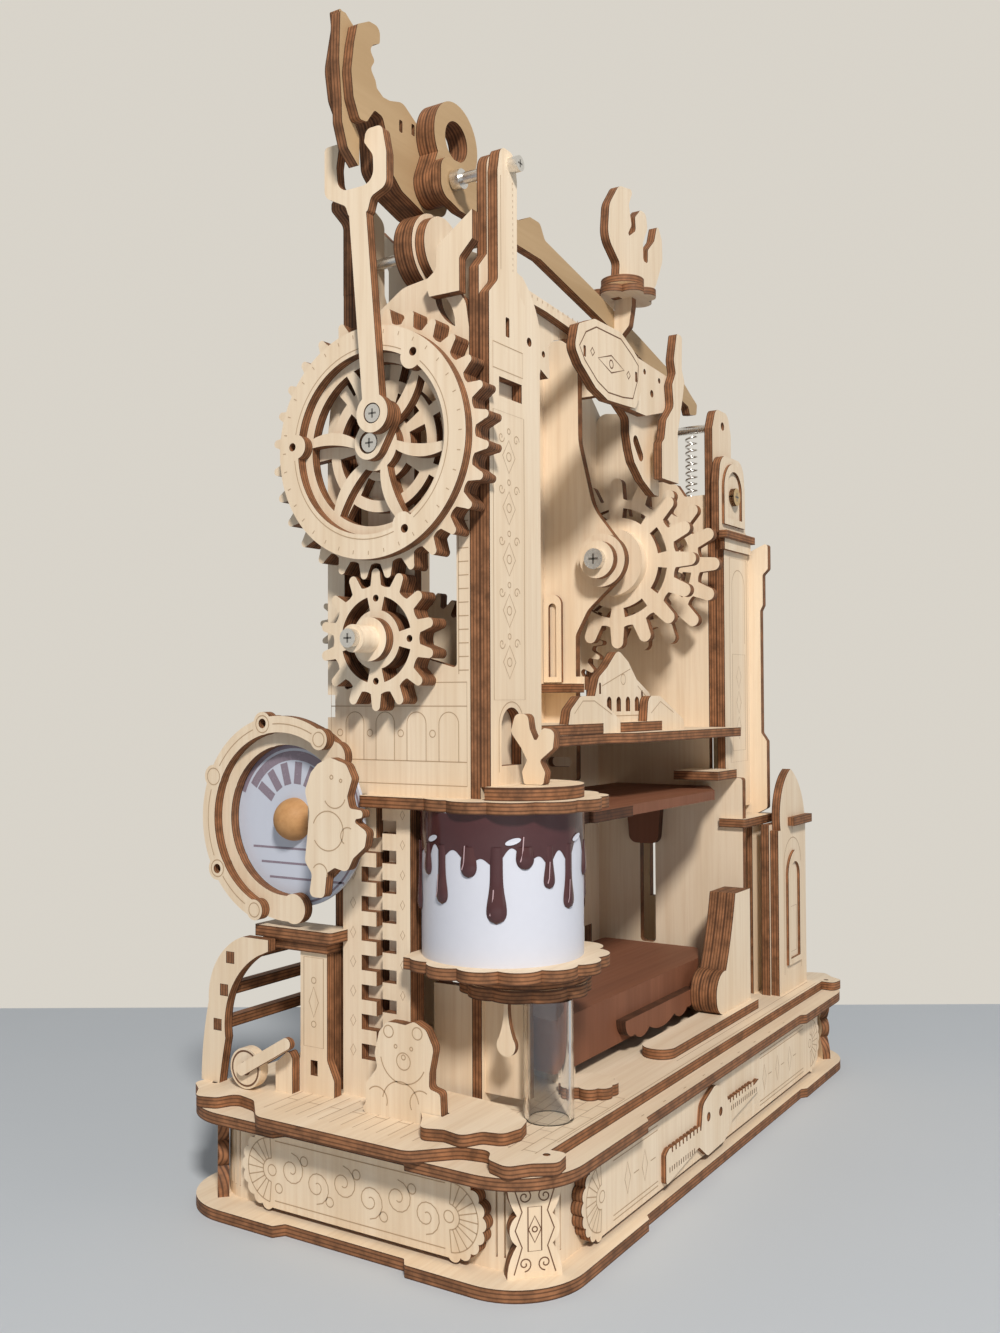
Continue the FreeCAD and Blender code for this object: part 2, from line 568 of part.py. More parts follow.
def letter_rack():
    """Arched side frame with mortised shelves, and the column in front of it."""
    frame_plate = [((57.3, DECK_TOP), (50.6, DECK_TOP)), ((50.6, DECK_TOP), (49.6, 37), (48.4, 43)),
                   ((48.4, 43), (45.6, 58), (36.5, 66.5)), ((36.5, 66.5), (33.0, 68.0)),
                   ((33.0, 68.0), (33.0, 71.0)), ((33.0, 71.0), (42.2, 71.0)),
                   ((42.2, 71.0), (52.6, 62), (54.6, 52.4)), ((54.6, 52.4), (56.4, 43), (57.3, DECK_TOP))]
    heights = (46.4, 56.0, 65.0)
    mortises = [box(51.4 - 0.25 * (z - 46) - 1.5, z - 1.6, 51.4 - 0.25 * (z - 46) + 1.5, z + 1.6)
                for z in heights]
    arch = plate("X", -103.0, frame_plate, mortises)
    column = plate("X", -97, rounded([(15.4, DECK_TOP), (28.6, DECK_TOP), (28.6, 35, 1), (26.9, 40, 2),
                                      (26.9, 68), (17.8, 68), (17.8, 40, 2), (15.4, 35, 1)]))
    column = column.cut(block(-98, -93, 21.0, 23.4, 35.5, 39.5))
    legs = [block(-94, -91, start, start + PLY, DECK_TOP, 68) for start in (17.8, 23.9)]
    return [arch, column] + legs


def rack_shelves():
    shelves = []
    for z in (46.4, 56.0, 65.0):
        centre = 51.4 - 0.25 * (z - 46)
        shelves.append(block(-102.9, -64, centre - 1.4, centre + 1.4, z - 1.5, z + 1.5))
    back_leg = plate("X", -64, rounded([(56, DECK_TOP), (44, DECK_TOP), (41, 66, 3), (50, 66, 3)]))
    return shelves + [back_leg]


def brayer():
    """Ink roller: forked handle on the frame, roller free to spin."""
    y, z = ROLLER_AXIS
    fork = plate("X", -105.6, capsule((y, z), (24.5, 45.5), 1.5), [disc(y, z, 1.0)], thickness=1.4)
    far = plate("X", -100.6, capsule((y, z), (28.5, 43.6), 1.5), [disc(y, z, 1.0)], thickness=1.4)
    bridge = rod("X", -105.6, -99.2, 28.5, 43.3, 1.1)
    axle = rod("X", -105.6, -99.2, y, z, 1.0)
    rest = plate("X", -100.0, rounded([(33, DECK_TOP), (27.2, DECK_TOP), (27.2, 40), (28.5, 42.0, 1),
                                       (33, 38)]))
    roller = tube("X", -103.9, -100.9, y, z, 5.4, 1.0 + RUNNING_GAP)
    save("brayer_handle", fork.fuse([far, bridge, axle]).removeSplitter(), rest)
    save("brayer_roller", roller)


# Ink stand
def ink_stand():
    save("pedestal_panels", block(-82, INNER_WALL + PLY, -20.9, -17.9, DECK_TOP, 60.4),
         block(-82, -79, -17.9, -6, DECK_TOP, 60.4), block(-80.5, -77.5, -32.5, -20.9, DECK_TOP + PLY, 60.4))
    save("ink_tube", tube("Z", DECK_TOP, 60.4, -81, -40.0, 6.3, 5.2))
    stand = [plate("Z", 60.4, scalloped(-75.8, -30.3, 17.0, 10, 1.2), thickness=3.3),
             plate("Z", 63.7, disc(-75.8, -30.3, 16.5), thickness=3.3)]
    save("cup_stand_discs", *stand)
    tab = plate("Z", 67, rounded([(-98, -7.5, 1), (-98, -13, 1), (-80, -20), (-70, -12), (-70, -6.2),
                                  (-92, -6.2, 1)]))
    saucer = plate("Z", 67, scalloped(-78.2, -26.6, 26.0, 14, 2.2)).fuse(tab).removeSplitter()
    saucer = saucer.cut(block(-110, -50, -6.1, 0, 66, 71)).cut(block(INNER_WALL, -50, -9.6, 0, 66, 71))
    save("cup_saucer", saucer)
    cup = rod("Z", 70, GALLERY, *CUP_AXIS, CUP_R).cut(rod("Z", 71.5, GALLERY + 1, *CUP_AXIS, CUP_R - 1.2))
    save("ink_cup", cup)


# Middle of the press
def shelf():
    slot = block(MIDDLE_PLATE, MIDDLE_PLATE + PLY, 5.6, TOWER_BACK, SHELF - 1, SHELF + PLY + 1)
    front_left, front_right = -28.0, -38.0
    outline = rounded([(INNER_WALL + PLY, TOWER_BACK - PLY), (INNER_WALL + PLY, front_left),
                       (-24, front_left - 0.5, 4), (-18, front_right + 4, 4), (RIGHT_WALL, front_right, 1),
                       (RIGHT_WALL, TOWER_BACK - PLY)])
    board = plate("Z", SHELF, outline).cut(slot)
    step_left = plate("Z", SHELF + PLY, rounded([(-62.5, -5), (-62.5, -26), (-44, -28.5, 1),
                                                 (-27.6, -28.5, 1), (-27.6, -5)]))
    step_mid = plate("Z", SHELF + PLY, rounded([(-16.2, -8), (-16.2, -29, 1), (12.2, -29, 1), (12.2, -8)]))
    edge_strip = block(40, RIGHT_WALL, -36, -20, GALLERY, GALLERY + PLY)
    return [board, step_left, step_mid, edge_strip]


def shelf_buildings():
    """Chapel front with four arched windows behind two ridge pieces."""
    board, low = SHELF + PLY, SHELF + 2 * PLY
    chapel = rounded([(-27.2, low), (11.8, low), (11.4, 136, 3), (1.5, 140.5, 1), (-4.4, 146.0, 3),
                      (-11.4, 149.6, 4), (-18.6, 144, 2), (-24, 141, 3), (-27.2, 134, 2)])
    windows = [arched(-18.9 + 6.3 * index, -15.9 + 6.3 * index, 130.7, 135.2) for index in range(4)]
    slits = [arched(-23.9, -22.7, 136.0, 139.4), arched(4.6, 5.8, 134.0, 137.2)]
    ridge_left = rounded([(-48.4, low), (-47.2, 131.5, 2), (-41.4, 135.4, 4), (-31.5, 135.4, 4), (-14.9, low),
                          (-16.4, low), (-16.4, board), (-27.4, board), (-27.4, low)])
    ridge_right = rounded([(2.0, low), (3.2, 135.4, 3), (11.6, 135.4, 4), (30.4, low, 2), (30.4, board),
                           (12.4, board), (12.4, low)])
    ridges = [plate("Y", -28.2, ridge) for ridge in (ridge_left, ridge_right)]
    return [plate("Y", -25, chapel, windows + slits)] + ridges


def platen():
    """Press plate with an ear and guide pin at each end; the right pin carries the lift strap."""
    gap = 0.4
    left, right = INNER_WALL + PLY + gap, RIGHT_WALL - gap
    top = plate("Z", PLATEN_BOTTOM, rounded([(left, 10), (left, -36.5, 3), (-52, -36.5), (-52, -38, 0.5),
                                             (-28, -38, 0.5), (-28, -36.5), (36, -36.5, 1), (right, -26, 1),
                                             (right, 10)]))
    ear_low = PLATEN_BOTTOM - 18
    pin_z = ear_low + 4
    ear = rounded([(-9, PLATEN_BOTTOM), (5, PLATEN_BOTTOM), (3.5, ear_low, 3), (-7.5, ear_low, 3)])
    ears = [plate("X", start, ear) for start in (left, right - PLY)]
    left_pin = rod("X", left - 6.5, left, SLOT_Y, pin_z, GUIDE_PIN_R)
    left_head = rod("X", left - 6.5, left - 4.2, SLOT_Y, pin_z, 4.0)
    strap_start = right + 4.4
    right_pin = rod("X", right, strap_start + 0.6, SLOT_Y, pin_z, GUIDE_PIN_R)
    body = top.fuse(ears + [left_pin, left_head, right_pin]).removeSplitter()
    cup_notch = rod("Z", PLATEN_BOTTOM - 1, PLATEN_BOTTOM + PLY + 1, *CUP_AXIS, CUP_R + 2 * MOVING_GAP)
    save("platen", body.cut(cup_notch))
    strap_top = SPRING_BOTTOM - WIRE_R - 0.15
    strap = rounded([(2, pin_z - 4, 1), (2, pin_z + 6, 1), (-10.5, pin_z + 9, 2), (-10.5, strap_top, 2),
                     (-21, strap_top, 2), (-21, pin_z - 4, 2)])
    save("lift_strap", plate("X", strap_start, strap, [disc(SLOT_Y, pin_z, GUIDE_PIN_R)]))


def tray():
    """Ink-coloured tray on two rails: a skirted top with chamfered front corner, and its handle."""
    outline = [(-60, 12, 2), (-60, -31, 2), (34, -31, 2), (50, -24, 2), (50, 12, 2)]
    body = plate("Z", 34.5, rounded(outline), thickness=14.3)
    hollow = plate("Z", 33.5, rounded([(-57, 9), (-57, -28), (33, -28), (47, -22), (47, 9)]), thickness=12.3)
    grip = [((24, 41.5), (-26, 41.5)), ((-26, 41.5), (-24.5, 37.5), (-20, 36.6)),
            ((-20, 36.6), (-15, 34.8), (-10, 36.6)), ((-10, 36.6), (-1, 34.6), (8, 36.6)),
            ((8, 36.6), (13, 34.8), (18, 36.6)), ((18, 36.6), (22.5, 37.5), (24, 41.5))]
    handle = plate("Y", -31 - PLY, grip)
    save("ink_tray", body.cut(hollow), handle)
    rail = [block(x, x + 5, -30, 18, DECK_TOP, 34.2) for x in (-54, 39)]
    save("tray_rails", *rail, plate("Z", DECK_TOP, scalloped(-58, -39.5, 7.4, 8, 1.0)))


def scroll_bracket():
    """Three-ply bracket with a rolled foot, on its own tongue-shaped foot plate."""
    side = [((50, DECK_TOP + PLY), (50, 70.5)), ((50, 70.5), (37, 70.5)),
            ((37, 70.5), (33.2, 58), (28.5, 47)), ((28.5, 47), (21.5, 44.0), (20.5, 39.2)),
            ((20.5, 39.2), (22.1, 35.3), (26, DECK_TOP + PLY)), ((26, DECK_TOP + PLY), (50, DECK_TOP + PLY))]
    eye = [disc(27.6, 39.2, 2.2)]
    plies = [plate("Y", y, side, eye) for y in (-37, -40)]
    plies.append(plate("Y", -43, side))
    foot = plate("Z", DECK_TOP, rounded([(-22, -45.6, 4.9), (52, -45.6, 2), (52, -35.5, 2),
                                         (-22, -35.5, 4.9)]))
    return plies + [foot]


def back_panel():
    """Rear wall with windows for the gears, an arch over the tray and two round-headed lights."""
    front = TOWER_BACK - PLY
    left = -89.9
    outline = rounded([(left, DECK_TOP), (-60.5, DECK_TOP), (-60.5, 53), (51, 53), (51, DECK_TOP),
                       (OUTER_RIGHT_WALL, DECK_TOP), (OUTER_RIGHT_WALL, 186), (76, 196, 4), (76, 226, 8),
                       (48, 250, 10), (-48, 250, 10), (-70, 240, 8), (left, 222, 4)])
    holes = [box(-77.6, 139, -71.4, 173, 1), arched(23.5, 53.5, 126, 216), arched(-50, -18, 134, 200),
             box(-52, 58, -14, 99, 4), box(-4, 58, 46, 99, 4),
             box(INNER_WALL - 0.05, 147.9, INNER_WALL + PLY + 0.05, 164.1),
             box(MIDDLE_PLATE - 0.05, 147.9, MIDDLE_PLATE + PLY + 0.05, 164.1)]
    return plate("Y", front, outline, holes)


def middle_plate():
    y, z = GEAR_AXIS
    back = TOWER_BACK - PLY
    outline = rounded([(5.6, GALLERY, 1), (back, GALLERY), (back, 148), (30, 148, 4), (30, 164, 4),
                       (back, 164), (back, 257, 2), (4.4, 257, 3), (4.2, 221.5, 20), (-1.2, 198.5, 20),
                       (y - 5.5, z + 5, 4), (y - 5.5, z - 5, 4), (1.0, z - 16, 8), (5.6, 156, 4), (5.6, 142),
                       (2.3, 142), (2.3, 137.5), (5.6, 137.5)])
    holes = [disc(y, z, SHAFT_R + RUNNING_GAP), disc(*CROSS_AXIS, SHAFT_R + RUNNING_GAP),
             box(7.5, 111.5, 16.5, 114.8, 1.5)]
    arch_light = arched(12.5, back - 2.2, 142, 167)
    arch = plate("X", MIDDLE_PLATE - 1.2, arched(10.5, back - 0.2, 140.2, 170), [arch_light], thickness=1.2)
    ledge = block(MIDDLE_PLATE - 9, MIDDLE_PLATE, 2.5, back, 136.6, 139.6)
    return [plate("X", MIDDLE_PLATE, outline, holes), arch, ledge]


# Right tower
def right_tower():
    pin_z = PLATEN_BOTTOM - 14
    slot_low = pin_z - PLATEN_TRAVEL - 9.5
    slot = box(SLOT_Y - SLOT_WIDTH / 2, slot_low, SLOT_Y + SLOT_WIDTH / 2, 91, 1.5)
    back = TOWER_BACK - PLY
    inner = rounded([(-38, DECK_TOP), (back, DECK_TOP), (back, 240, 4), (3, 238, 5), (-7, 213, 5),
                     (-14.5, 210.5, 1), (-17.5, 206, 1), (-26, 206), (-26, GALLERY), (-38, GALLERY, 1)])
    save("right_wall", plate("X", RIGHT_WALL, inner, [slot, disc(*GEAR_AXIS, SHAFT_R + RUNNING_GAP)]))
    outer = rounded([(-34.8, DECK_TOP), (back, DECK_TOP), (back, 190, 4), (-26, 190), (-29, 186, 1),
                     (-39.5, 190.5, 1), (-39.5, 181, 1), (-37.5, 179, 1), (-37.5, 168, 1), (-36.5, 166, 1),
                     (-36.5, 122, 1), (-38.5, 119, 1), (-38.5, 95, 1), (-34.8, 93)])
    save("right_outer_wall", plate("X", OUTER_RIGHT_WALL, outer, [disc(*GEAR_AXIS, SHAFT_R + RUNNING_GAP),
                                                                 arched(-18, 8, 60, 140)]))
    post_back = -29.0
    post = rounded([(57, SHELF + PLY), (79.9, SHELF + PLY), (79.9, 206, 1), (72, 208), (72, 229, 0),
                    (69, 236.2, 4), (58, 236.2, 4), (54.8, 229, 0), (54.8, 192), (57, 190)])
    save("right_front_post", plate("Y", post_back, post, [disc(SPRING_AXIS[0], 231.0, SHAFT_R)]))
    face = post_back - PLY
    overlay = rounded([(60, 96), (79.9, 96, 1), (79.9, 192, 1), (77.4, 194.5), (77.4, 209.5, 0),
                       (75.6, 219.4, 8), (54.8, 219.4, 8), (53.0, 209.5, 0), (53.0, 192), (57, 190),
                       (57, GALLERY + 0.1), (60, GALLERY + 0.1)])
    screw_head = rod("Y", face - 1.8, face, 65.2, 205.5, 3.1)
    screw = rod("Y", face - 1.2, face + 2.95, 65.2, 205.5, 1.3).fuse(screw_head)
    relief = plate("Y", face - 1, arched(55.6, 74.8, 195.2, 217.2), [arched(58.4, 72.0, 197.6, 214.4)],
                   thickness=1)
    ledges = [block(52.6, 79.9, face - 2.8, face, 190, 192.6), block(54, 78.6, face - 1.6, face, 186.2, 190)]
    save("right_post_overlay", plate("Y", face, overlay, [disc(65.2, 205.5, 1.3)]), screw.removeSplitter(),
         relief, *ledges)
    save("right_arch_panel", *right_arch_panel())


def right_arch_panel():
    """Lower front pier of stacked plies with a pointed arch panel and a bracket board."""
    head = [((70, DECK_TOP), (99, DECK_TOP)), ((99, DECK_TOP), (99, 88)), ((99, 88), (94, 101), (83.5, 109)),
            ((83.5, 109), (74, 101), (72.5, 88)), ((72.5, 88), (70, 88)), ((70, 88), (70, DECK_TOP))]
    light = [((77.5, 40), (91.5, 40)), ((91.5, 40), (91.5, 70)), ((91.5, 70), (89.5, 77), (84.5, 80)),
             ((84.5, 80), (79.5, 77), (77.5, 70)), ((77.5, 70), (77.5, 40))]
    front = plate("Y", -46, head)
    relief = plate("Y", -47.0, light, [arched(79.5, 89.5, 42, 76)], thickness=1.0)
    inner = [plate("Y", y, box(69, DECK_TOP, 98, 90)) for y in (-43, -40)]
    board = plate("Z", 90, rounded([(55.5, -30), (55.5, -39.5, 1), (84, -39.5, 1), (84, -34.9), (79.9, -34.9),
                                    (79.9, -30)]))
    board = board.cut(block(56.95, 60.05, -38.05, -28, 89, 94))
    sill = block(80, 99.5, -48.4, -46, 89, 92)
    inner[1] = inner[1].cut(block(55, 85, -40, -36.9, 30, 90))
    column = block(69, 79.9, -36.9, -34.9, DECK_TOP, 90)
    return [front, relief] + [inner[0], board, sill, column]


# Facade over the press
def facade():
    """Haunched arch plate with a cornice ply, sign and spire in front, tied back to the middle plate."""
    back = TOWER_FRONT + PLY
    arch = rounded([(-70, 240), (-64.1, 237.0), (-58.7, 229.4, 6), (-47.0, 224.6, 0.8), (-47.7, 234.5, 2),
                    (-44.8, 236.6, 3), (-35.2, 239.6, 10), (-22, 238, 8), (-6, 228, 6), (3.4, 223.5, 2),
                    (3.4, 219, 3), (5.0, 214, 4), (7.0, 210.2, 4), (13.4, 205.2, 4), (21.8, 201.5, 3),
                    (25.4, 201.5), (25.4, 207), (30, 207), (30, 240.5), (14, 242.6, 10), (-36, 243.4, 20),
                    (-70, 245.8)])
    slot = capsule((8.2, 217.0), (11.8, 212.8), 1.8)
    cornice = rounded([(-70, 242.4), (-54.3, 242.0, 20), (-39.5, 240.6, 10), (-30, 239.0, 6), (-14, 228.5, 8),
                       (-5.1, 225.0, 4), (9.6, 225.0, 5), (21.9, 228.3, 3), (30, 231), (30, 240.9),
                       (3.5, 242.4, 10), (-36, 243.4, 20), (-70, 245.8)])
    cornice_holes = [disc(8.8, 239.0, 0.9), disc(14.1, 233.0, 1.2), disc(19.8, 238.4, 0.9)]
    tie = plate("X", MIDDLE_PLATE + PLY, box(back + PLY, 237, TOWER_BACK - PLY, 243))
    save("facade_arch", plate("Y", back, arch, [disc(-55.5, 234.1, 1.2), disc(-50.6, 231.3, 0.9), slot]),
         plate("Y", TOWER_FRONT, cornice, cornice_holes), tie)
    sign = rounded([(-40.9, 241.5, 2), (-31.0, 245.4, 3), (-13.9, 245.6, 4), (-5.8, 242.3, 4),
                    (1.6, 238.3, 1.5), (-0.6, 235.5, 0.8), (0.6, 231.6, 1.5), (-4.1, 224.3, 2),
                    (-12.2, 223.8, 1), (-22.9, 223.2, 2), (-30.4, 225.2, 3), (-39.3, 230.5, 3),
                    (-43.2, 234.5, 3)])
    sign_slots = [box(-38.0, 232.9, -36.6, 236.1, 0.3), box(-4.3, 232.6, -2.9, 235.8, 0.3)]
    save("sign_plate", plate("Y", TOWER_FRONT - PLY, sign, sign_slots))
    spire = rounded([(15, 205.5), (28, 205.5), (27.5, 222, 2), (31.5, 234, 3), (33.4, 240.4, 1.2),
                     (31.2, 244.2, 1.5), (31.6, 255.4, 1.2), (27.4, 255.4, 1.2), (24.8, 246, 3),
                     (26.3, 242, 1), (23.4, 237.5, 2), (24.6, 230.5, 3), (18.6, 225, 3), (17.0, 218.6, 1.5),
                     (15.0, 217.0, 1)])
    save("spire_pilaster", plate("Y", TOWER_FRONT - PLY, spire))


# Main wheel, pinion and con rod
def wheel():
    outline = finger_gear(WHEEL_AXIS, WHEEL_TEETH, 30.8, 34.6, 4.0, 2.2, 90 + 180 / WHEEL_TEETH)
    curved = [arc_window(WHEEL_AXIS, 6.8, 21.0, k * 60 + 10.4, (k + 1) * 60 + 3.6, 5, 6.6) for k in range(6)]
    spokes = 7
    step = 360 / spokes
    straight = []
    for k in range(spokes):
        straight.append(arc_window(WHEEL_AXIS, 9, 14, k * step + 8, (k + 1) * step - 8))
        straight.append(arc_window(WHEEL_AXIS, 17, 23.6, k * step + 5, (k + 1) * step - 5))
    shaft_hole = disc(*WHEEL_AXIS, SHAFT_R)
    rear = plate("X", GEAR_BACK - PLY, outline, straight + [shaft_hole], thickness=PLY - 0.01)
    front = plate("X", GEAR_BACK - 2 * PLY, outline, curved + [shaft_hole], thickness=PLY - 0.01)
    save("wheel_gears", rear, front)

    ring_face = GEAR_BACK - 3 * PLY
    ring = tube("X", ring_face, ring_face + PLY - 0.01, *WHEEL_AXIS, 29.7, 23.4)
    for turn in (3.5, 123.5, 243.5):
        lug = polar(*WHEEL_AXIS, 24.2, turn)
        ring = ring.fuse(rod("X", ring_face, ring_face + PLY - 0.01, *lug, 3.2))
        ring = ring.cut(rod("X", ring_face - 1, ring_face + PLY + 1, *polar(*WHEEL_AXIS, 25.4, turn), 1.1))
    arm = plate("X", ring_face, capsule(WHEEL_AXIS, CRANK_PIN, 4.4), thickness=PLY - 0.01)
    arm = arm.cut(rod("X", ring_face - 1, ring_face + 1.6, *WHEEL_AXIS, 2.9))
    arm = arm.cut(rod("X", ring_face - 1, ring_face + PLY, *WHEEL_AXIS, SHAFT_R))
    arm = arm.cut(rod("X", ring_face - 1, ring_face + PLY, *CRANK_PIN, SHAFT_R))
    save("wheel_crank", ring.removeSplitter(), arm)
    pin = rod("X", ROD_FRONT + 0.1, ring_face + PLY - 0.01, *CRANK_PIN, SHAFT_R)
    pin_head = rod("X", ROD_FRONT + 0.1, ROD_FRONT + 1.2, *CRANK_PIN, 2.3)
    shaft = rod("X", ring_face + 0.4, INNER_WALL + PLY + 2, *WHEEL_AXIS, SHAFT_R)
    hub_head = rod("X", ring_face + 0.3, ring_face + 1.6, *WHEEL_AXIS, 2.4)
    collar = rod("X", INNER_WALL - 2.4, INNER_WALL - MOVING_GAP, *WHEEL_AXIS, 3.5)
    save("wheel_shaft", shaft.fuse([hub_head, collar]).removeSplitter(), pin.fuse(pin_head).removeSplitter())


def pinion():
    outline = finger_gear(PINION_AXIS, PINION_TEETH, 14.0, 18.2, 3.3, 2.6, 90)
    windows = [arc_window(PINION_AXIS, 7.6, 11.2, k * 90 + 14, k * 90 + 76) for k in range(4)]
    holes = [disc(*polar(*PINION_AXIS, 10.6, k * 90), 0.9) for k in range(4)]
    bore = disc(*PINION_AXIS, SHAFT_R)
    gears = [plate("X", GEAR_BACK - count * PLY, outline, windows + holes + [bore], thickness=PLY - 0.01)
             for count in (1, 2)]
    face = GEAR_BACK - 2 * PLY
    hub = plate("X", face - PLY, disc(*PINION_AXIS, 5.6), [bore], thickness=PLY - 0.01)
    spacer = plate("X", -109, disc(*PINION_AXIS, 3.5), [bore], thickness=face - PLY + 109 - 0.01)
    head = rod("X", -111.0, -109.01, *PINION_AXIS, 2.4)
    shaft = rod("X", -109.5, INNER_WALL + PLY + 2, *PINION_AXIS, SHAFT_R)
    span = math.dist(PINION_AXIS, CROSS_AXIS)
    heading = math.degrees(math.atan2(CROSS_AXIS[1] - PINION_AXIS[1], CROSS_AXIS[0] - PINION_AXIS[0]))
    lay = plate("X", -76, finger_gear(PINION_AXIS, 16, span / 2 - 2.2, span / 2 + 1.1, 2.6, 1.7, heading),
                [bore])
    save("pinion_gears", *gears, hub, spacer, lay)
    save("pinion_shaft", shaft.fuse(head).removeSplitter())


def con_rod():
    """Rod with a round eye on the crank pin and an open fork around the lever's hook."""
    neck = (0.2, 258.5)
    lean = math.atan2(neck[0] - CRANK_PIN[0], neck[1] - CRANK_PIN[1])
    dy, dz = 2.7 * math.cos(lean), 2.7 * math.sin(lean)
    shank = rounded([(CRANK_PIN[0] - dy, CRANK_PIN[1] + dz), (neck[0] - dy, neck[1] + dz),
                     (neck[0] + dy, neck[1] - dz), (CRANK_PIN[0] + dy, CRANK_PIN[1] - dz)])
    fork = rounded([(-3.0, 257.5, 1), (-4.2, 261.2, 2), (-9.0, 263.0, 2.5), (-9.0, 271.5, 2),
                    (-7.6, 278.6, 1.8), (-2.6, 278.6, 1.8), (-2.0, 275.4, 1), (-4.8, 271.6, 3),
                    (-5.0, 264.4, 3.5), (6.4, 264.4, 3.5), (7.0, 271.0, 4), (6.0, 276.9, 0.8),
                    (10.9, 276.9, 1.2), (10.9, 264.0, 3), (4.0, 260.4, 2), (3.0, 257.5, 1)])
    body = plate("X", ROD_FRONT, disc(*CRANK_PIN, 4.9))
    body = body.fuse([plate("X", ROD_FRONT, shank), plate("X", ROD_FRONT, fork)]).removeSplitter()
    body = body.cut(rod("X", ROD_FRONT - 1, ROD_FRONT + 1.5, *CRANK_PIN, 2.6))
    return body.cut(rod("X", ROD_FRONT - 1, ROD_FRONT + PLY + 1, *CRANK_PIN, SHAFT_R + RUNNING_GAP))


# Lever, beam and wrench ornament
def lever():
    bore = disc(*LEVER_PIVOT, SHAFT_R + RUNNING_GAP)
    notch = [(-104.3, 283.7, 1.5), (-101.0, 283.2, 1.5), (-99.4, 279.5, 3), (-98.6, 271.5, 3)]
    body = notch + [(-93, 267.0, 4), (-82, 264.0, 5), (-73, 266.5, 4), (-71.0, 273, 4), (-72.5, 281, 4),
                    (-82, 285, 3), (-88.3, 288.2, 2), (-92.5, 290.4, 4), (-98, 288.6, 1)]
    teeth = [(-100.8, 288.4, 0.5), (-103.4, 289.6, 0.8), (-104.0, 291.4, 0.8), (-106.0, 293.6, 1.2),
             (-104.3, 296.2, 0.9), (-106.3, 298.4, 1.2), (-104.8, 300.2, 0.8), (-102.2, 301.6, 1)]
    jaw = [(-102.0, 305.8, 2), (-106.5, 305.4, 2), (-111.2, 302.6, 1), (-112.6, 297.2, 6), (-113.7, 290, 6),
           (-112.8, 283.6, 3), (-110.4, 279.0, 1.2), (-107.6, 279.4, 1.2)]
    front = rounded(body + teeth + jaw)
    inside = [(-100.8, 288.4, 0.5), (-103.6, 291, 3), (-106.8, 299, 6)]
    leaf = [(-113.8, 283.8, 2), (-113.6, 278.0, 2), (-111.4, 272.2, 2), (-106.8, 268.8, 0.4),
            (-106.8, 276.8, 0.4), (-108.6, 279.2, 1), (-107.6, 282.4, 1.5)]
    middle = rounded(body + inside + [(-108.9, 303.8, 1), (-112.2, 305.8, 0.8), (-114.2, 305.6, 0.8),
                                      (-114.7, 293, 12)] + leaf)
    rear = rounded(body + inside + [(-108.4, 305.5, 2), (-110.2, 308.6, 0.8), (-111.2, 308.2, 0.6),
                                    (-110.6, 304.4, 3), (-113.2, 292.5, 8), (-111.8, 285, 4),
                                    (-108.9, 280.8, 1.2), (-107.4, 282.4, 1.5)])
    slots = [box(-94.0, 282.2, -92.6, 285.4, 0.4), box(-88.6, 283.4, -87.2, 286.4, 0.3)]
    plies = [plate("Y", LEVER_BACK - 3 * PLY, front, [bore] + slots, thickness=PLY - 0.01),
             plate("Y", LEVER_BACK - 2 * PLY, middle, [bore], thickness=PLY - 0.01),
             plate("Y", LEVER_BACK - PLY, rear, [bore])]
    eye_back = LEVER_BACK - 3 * PLY
    lobe = capsule(EYE_CENTRE, LEVER_PIVOT, 5.6)
    for start in (eye_back - 2 * PLY, eye_back - PLY):
        ring = plate("Y", start, disc(*EYE_CENTRE, 10.3)).fuse(plate("Y", start, lobe)).removeSplitter()
        ring = ring.cut(rod("Y", start - 1, start + PLY + 1, *EYE_CENTRE, 5.3))
        plies.append(ring.cut(rod("Y", start - 1, start + PLY + 1, *LEVER_PIVOT, SHAFT_R + RUNNING_GAP)))
    save("lever_plies", *plies)

    beam_front = eye_back - 3 * PLY
    beam = rounded([(-88, 266.5, 4), (-88, 276.4, 4), (-78, 277.4, 4), (-60, 270.5, 6), (-48.8, 271.6, 2),
                    (-42.7, 274.6, 2), (-37.0, 274.6, 2), (-34.1, 270.4, 2), (-1.7, 264.0, 3), (30, 257, 3),
                    (49.6, 252.2, 2), (66.6, 249.3, 1), (72.2, 246.5, 1), (78.7, 243.6, 1),
                    (78.0, 239.6, 1.5), (72.1, 238.6, 1), (70.5, 241.4, 1), (60, 243.5, 2), (47.7, 246.1),
                    (25.4, 251.3, 2), (1.0, 256.4, 3), (-36.5, 264.0, 3), (-60, 264.5, 6), (-79, 264.4, 4)])
    save("lever_beam", plate("Y", beam_front, beam, [bore], thickness=PLY - 0.01))
    save("wrench_ornament", *wrench(beam_front))


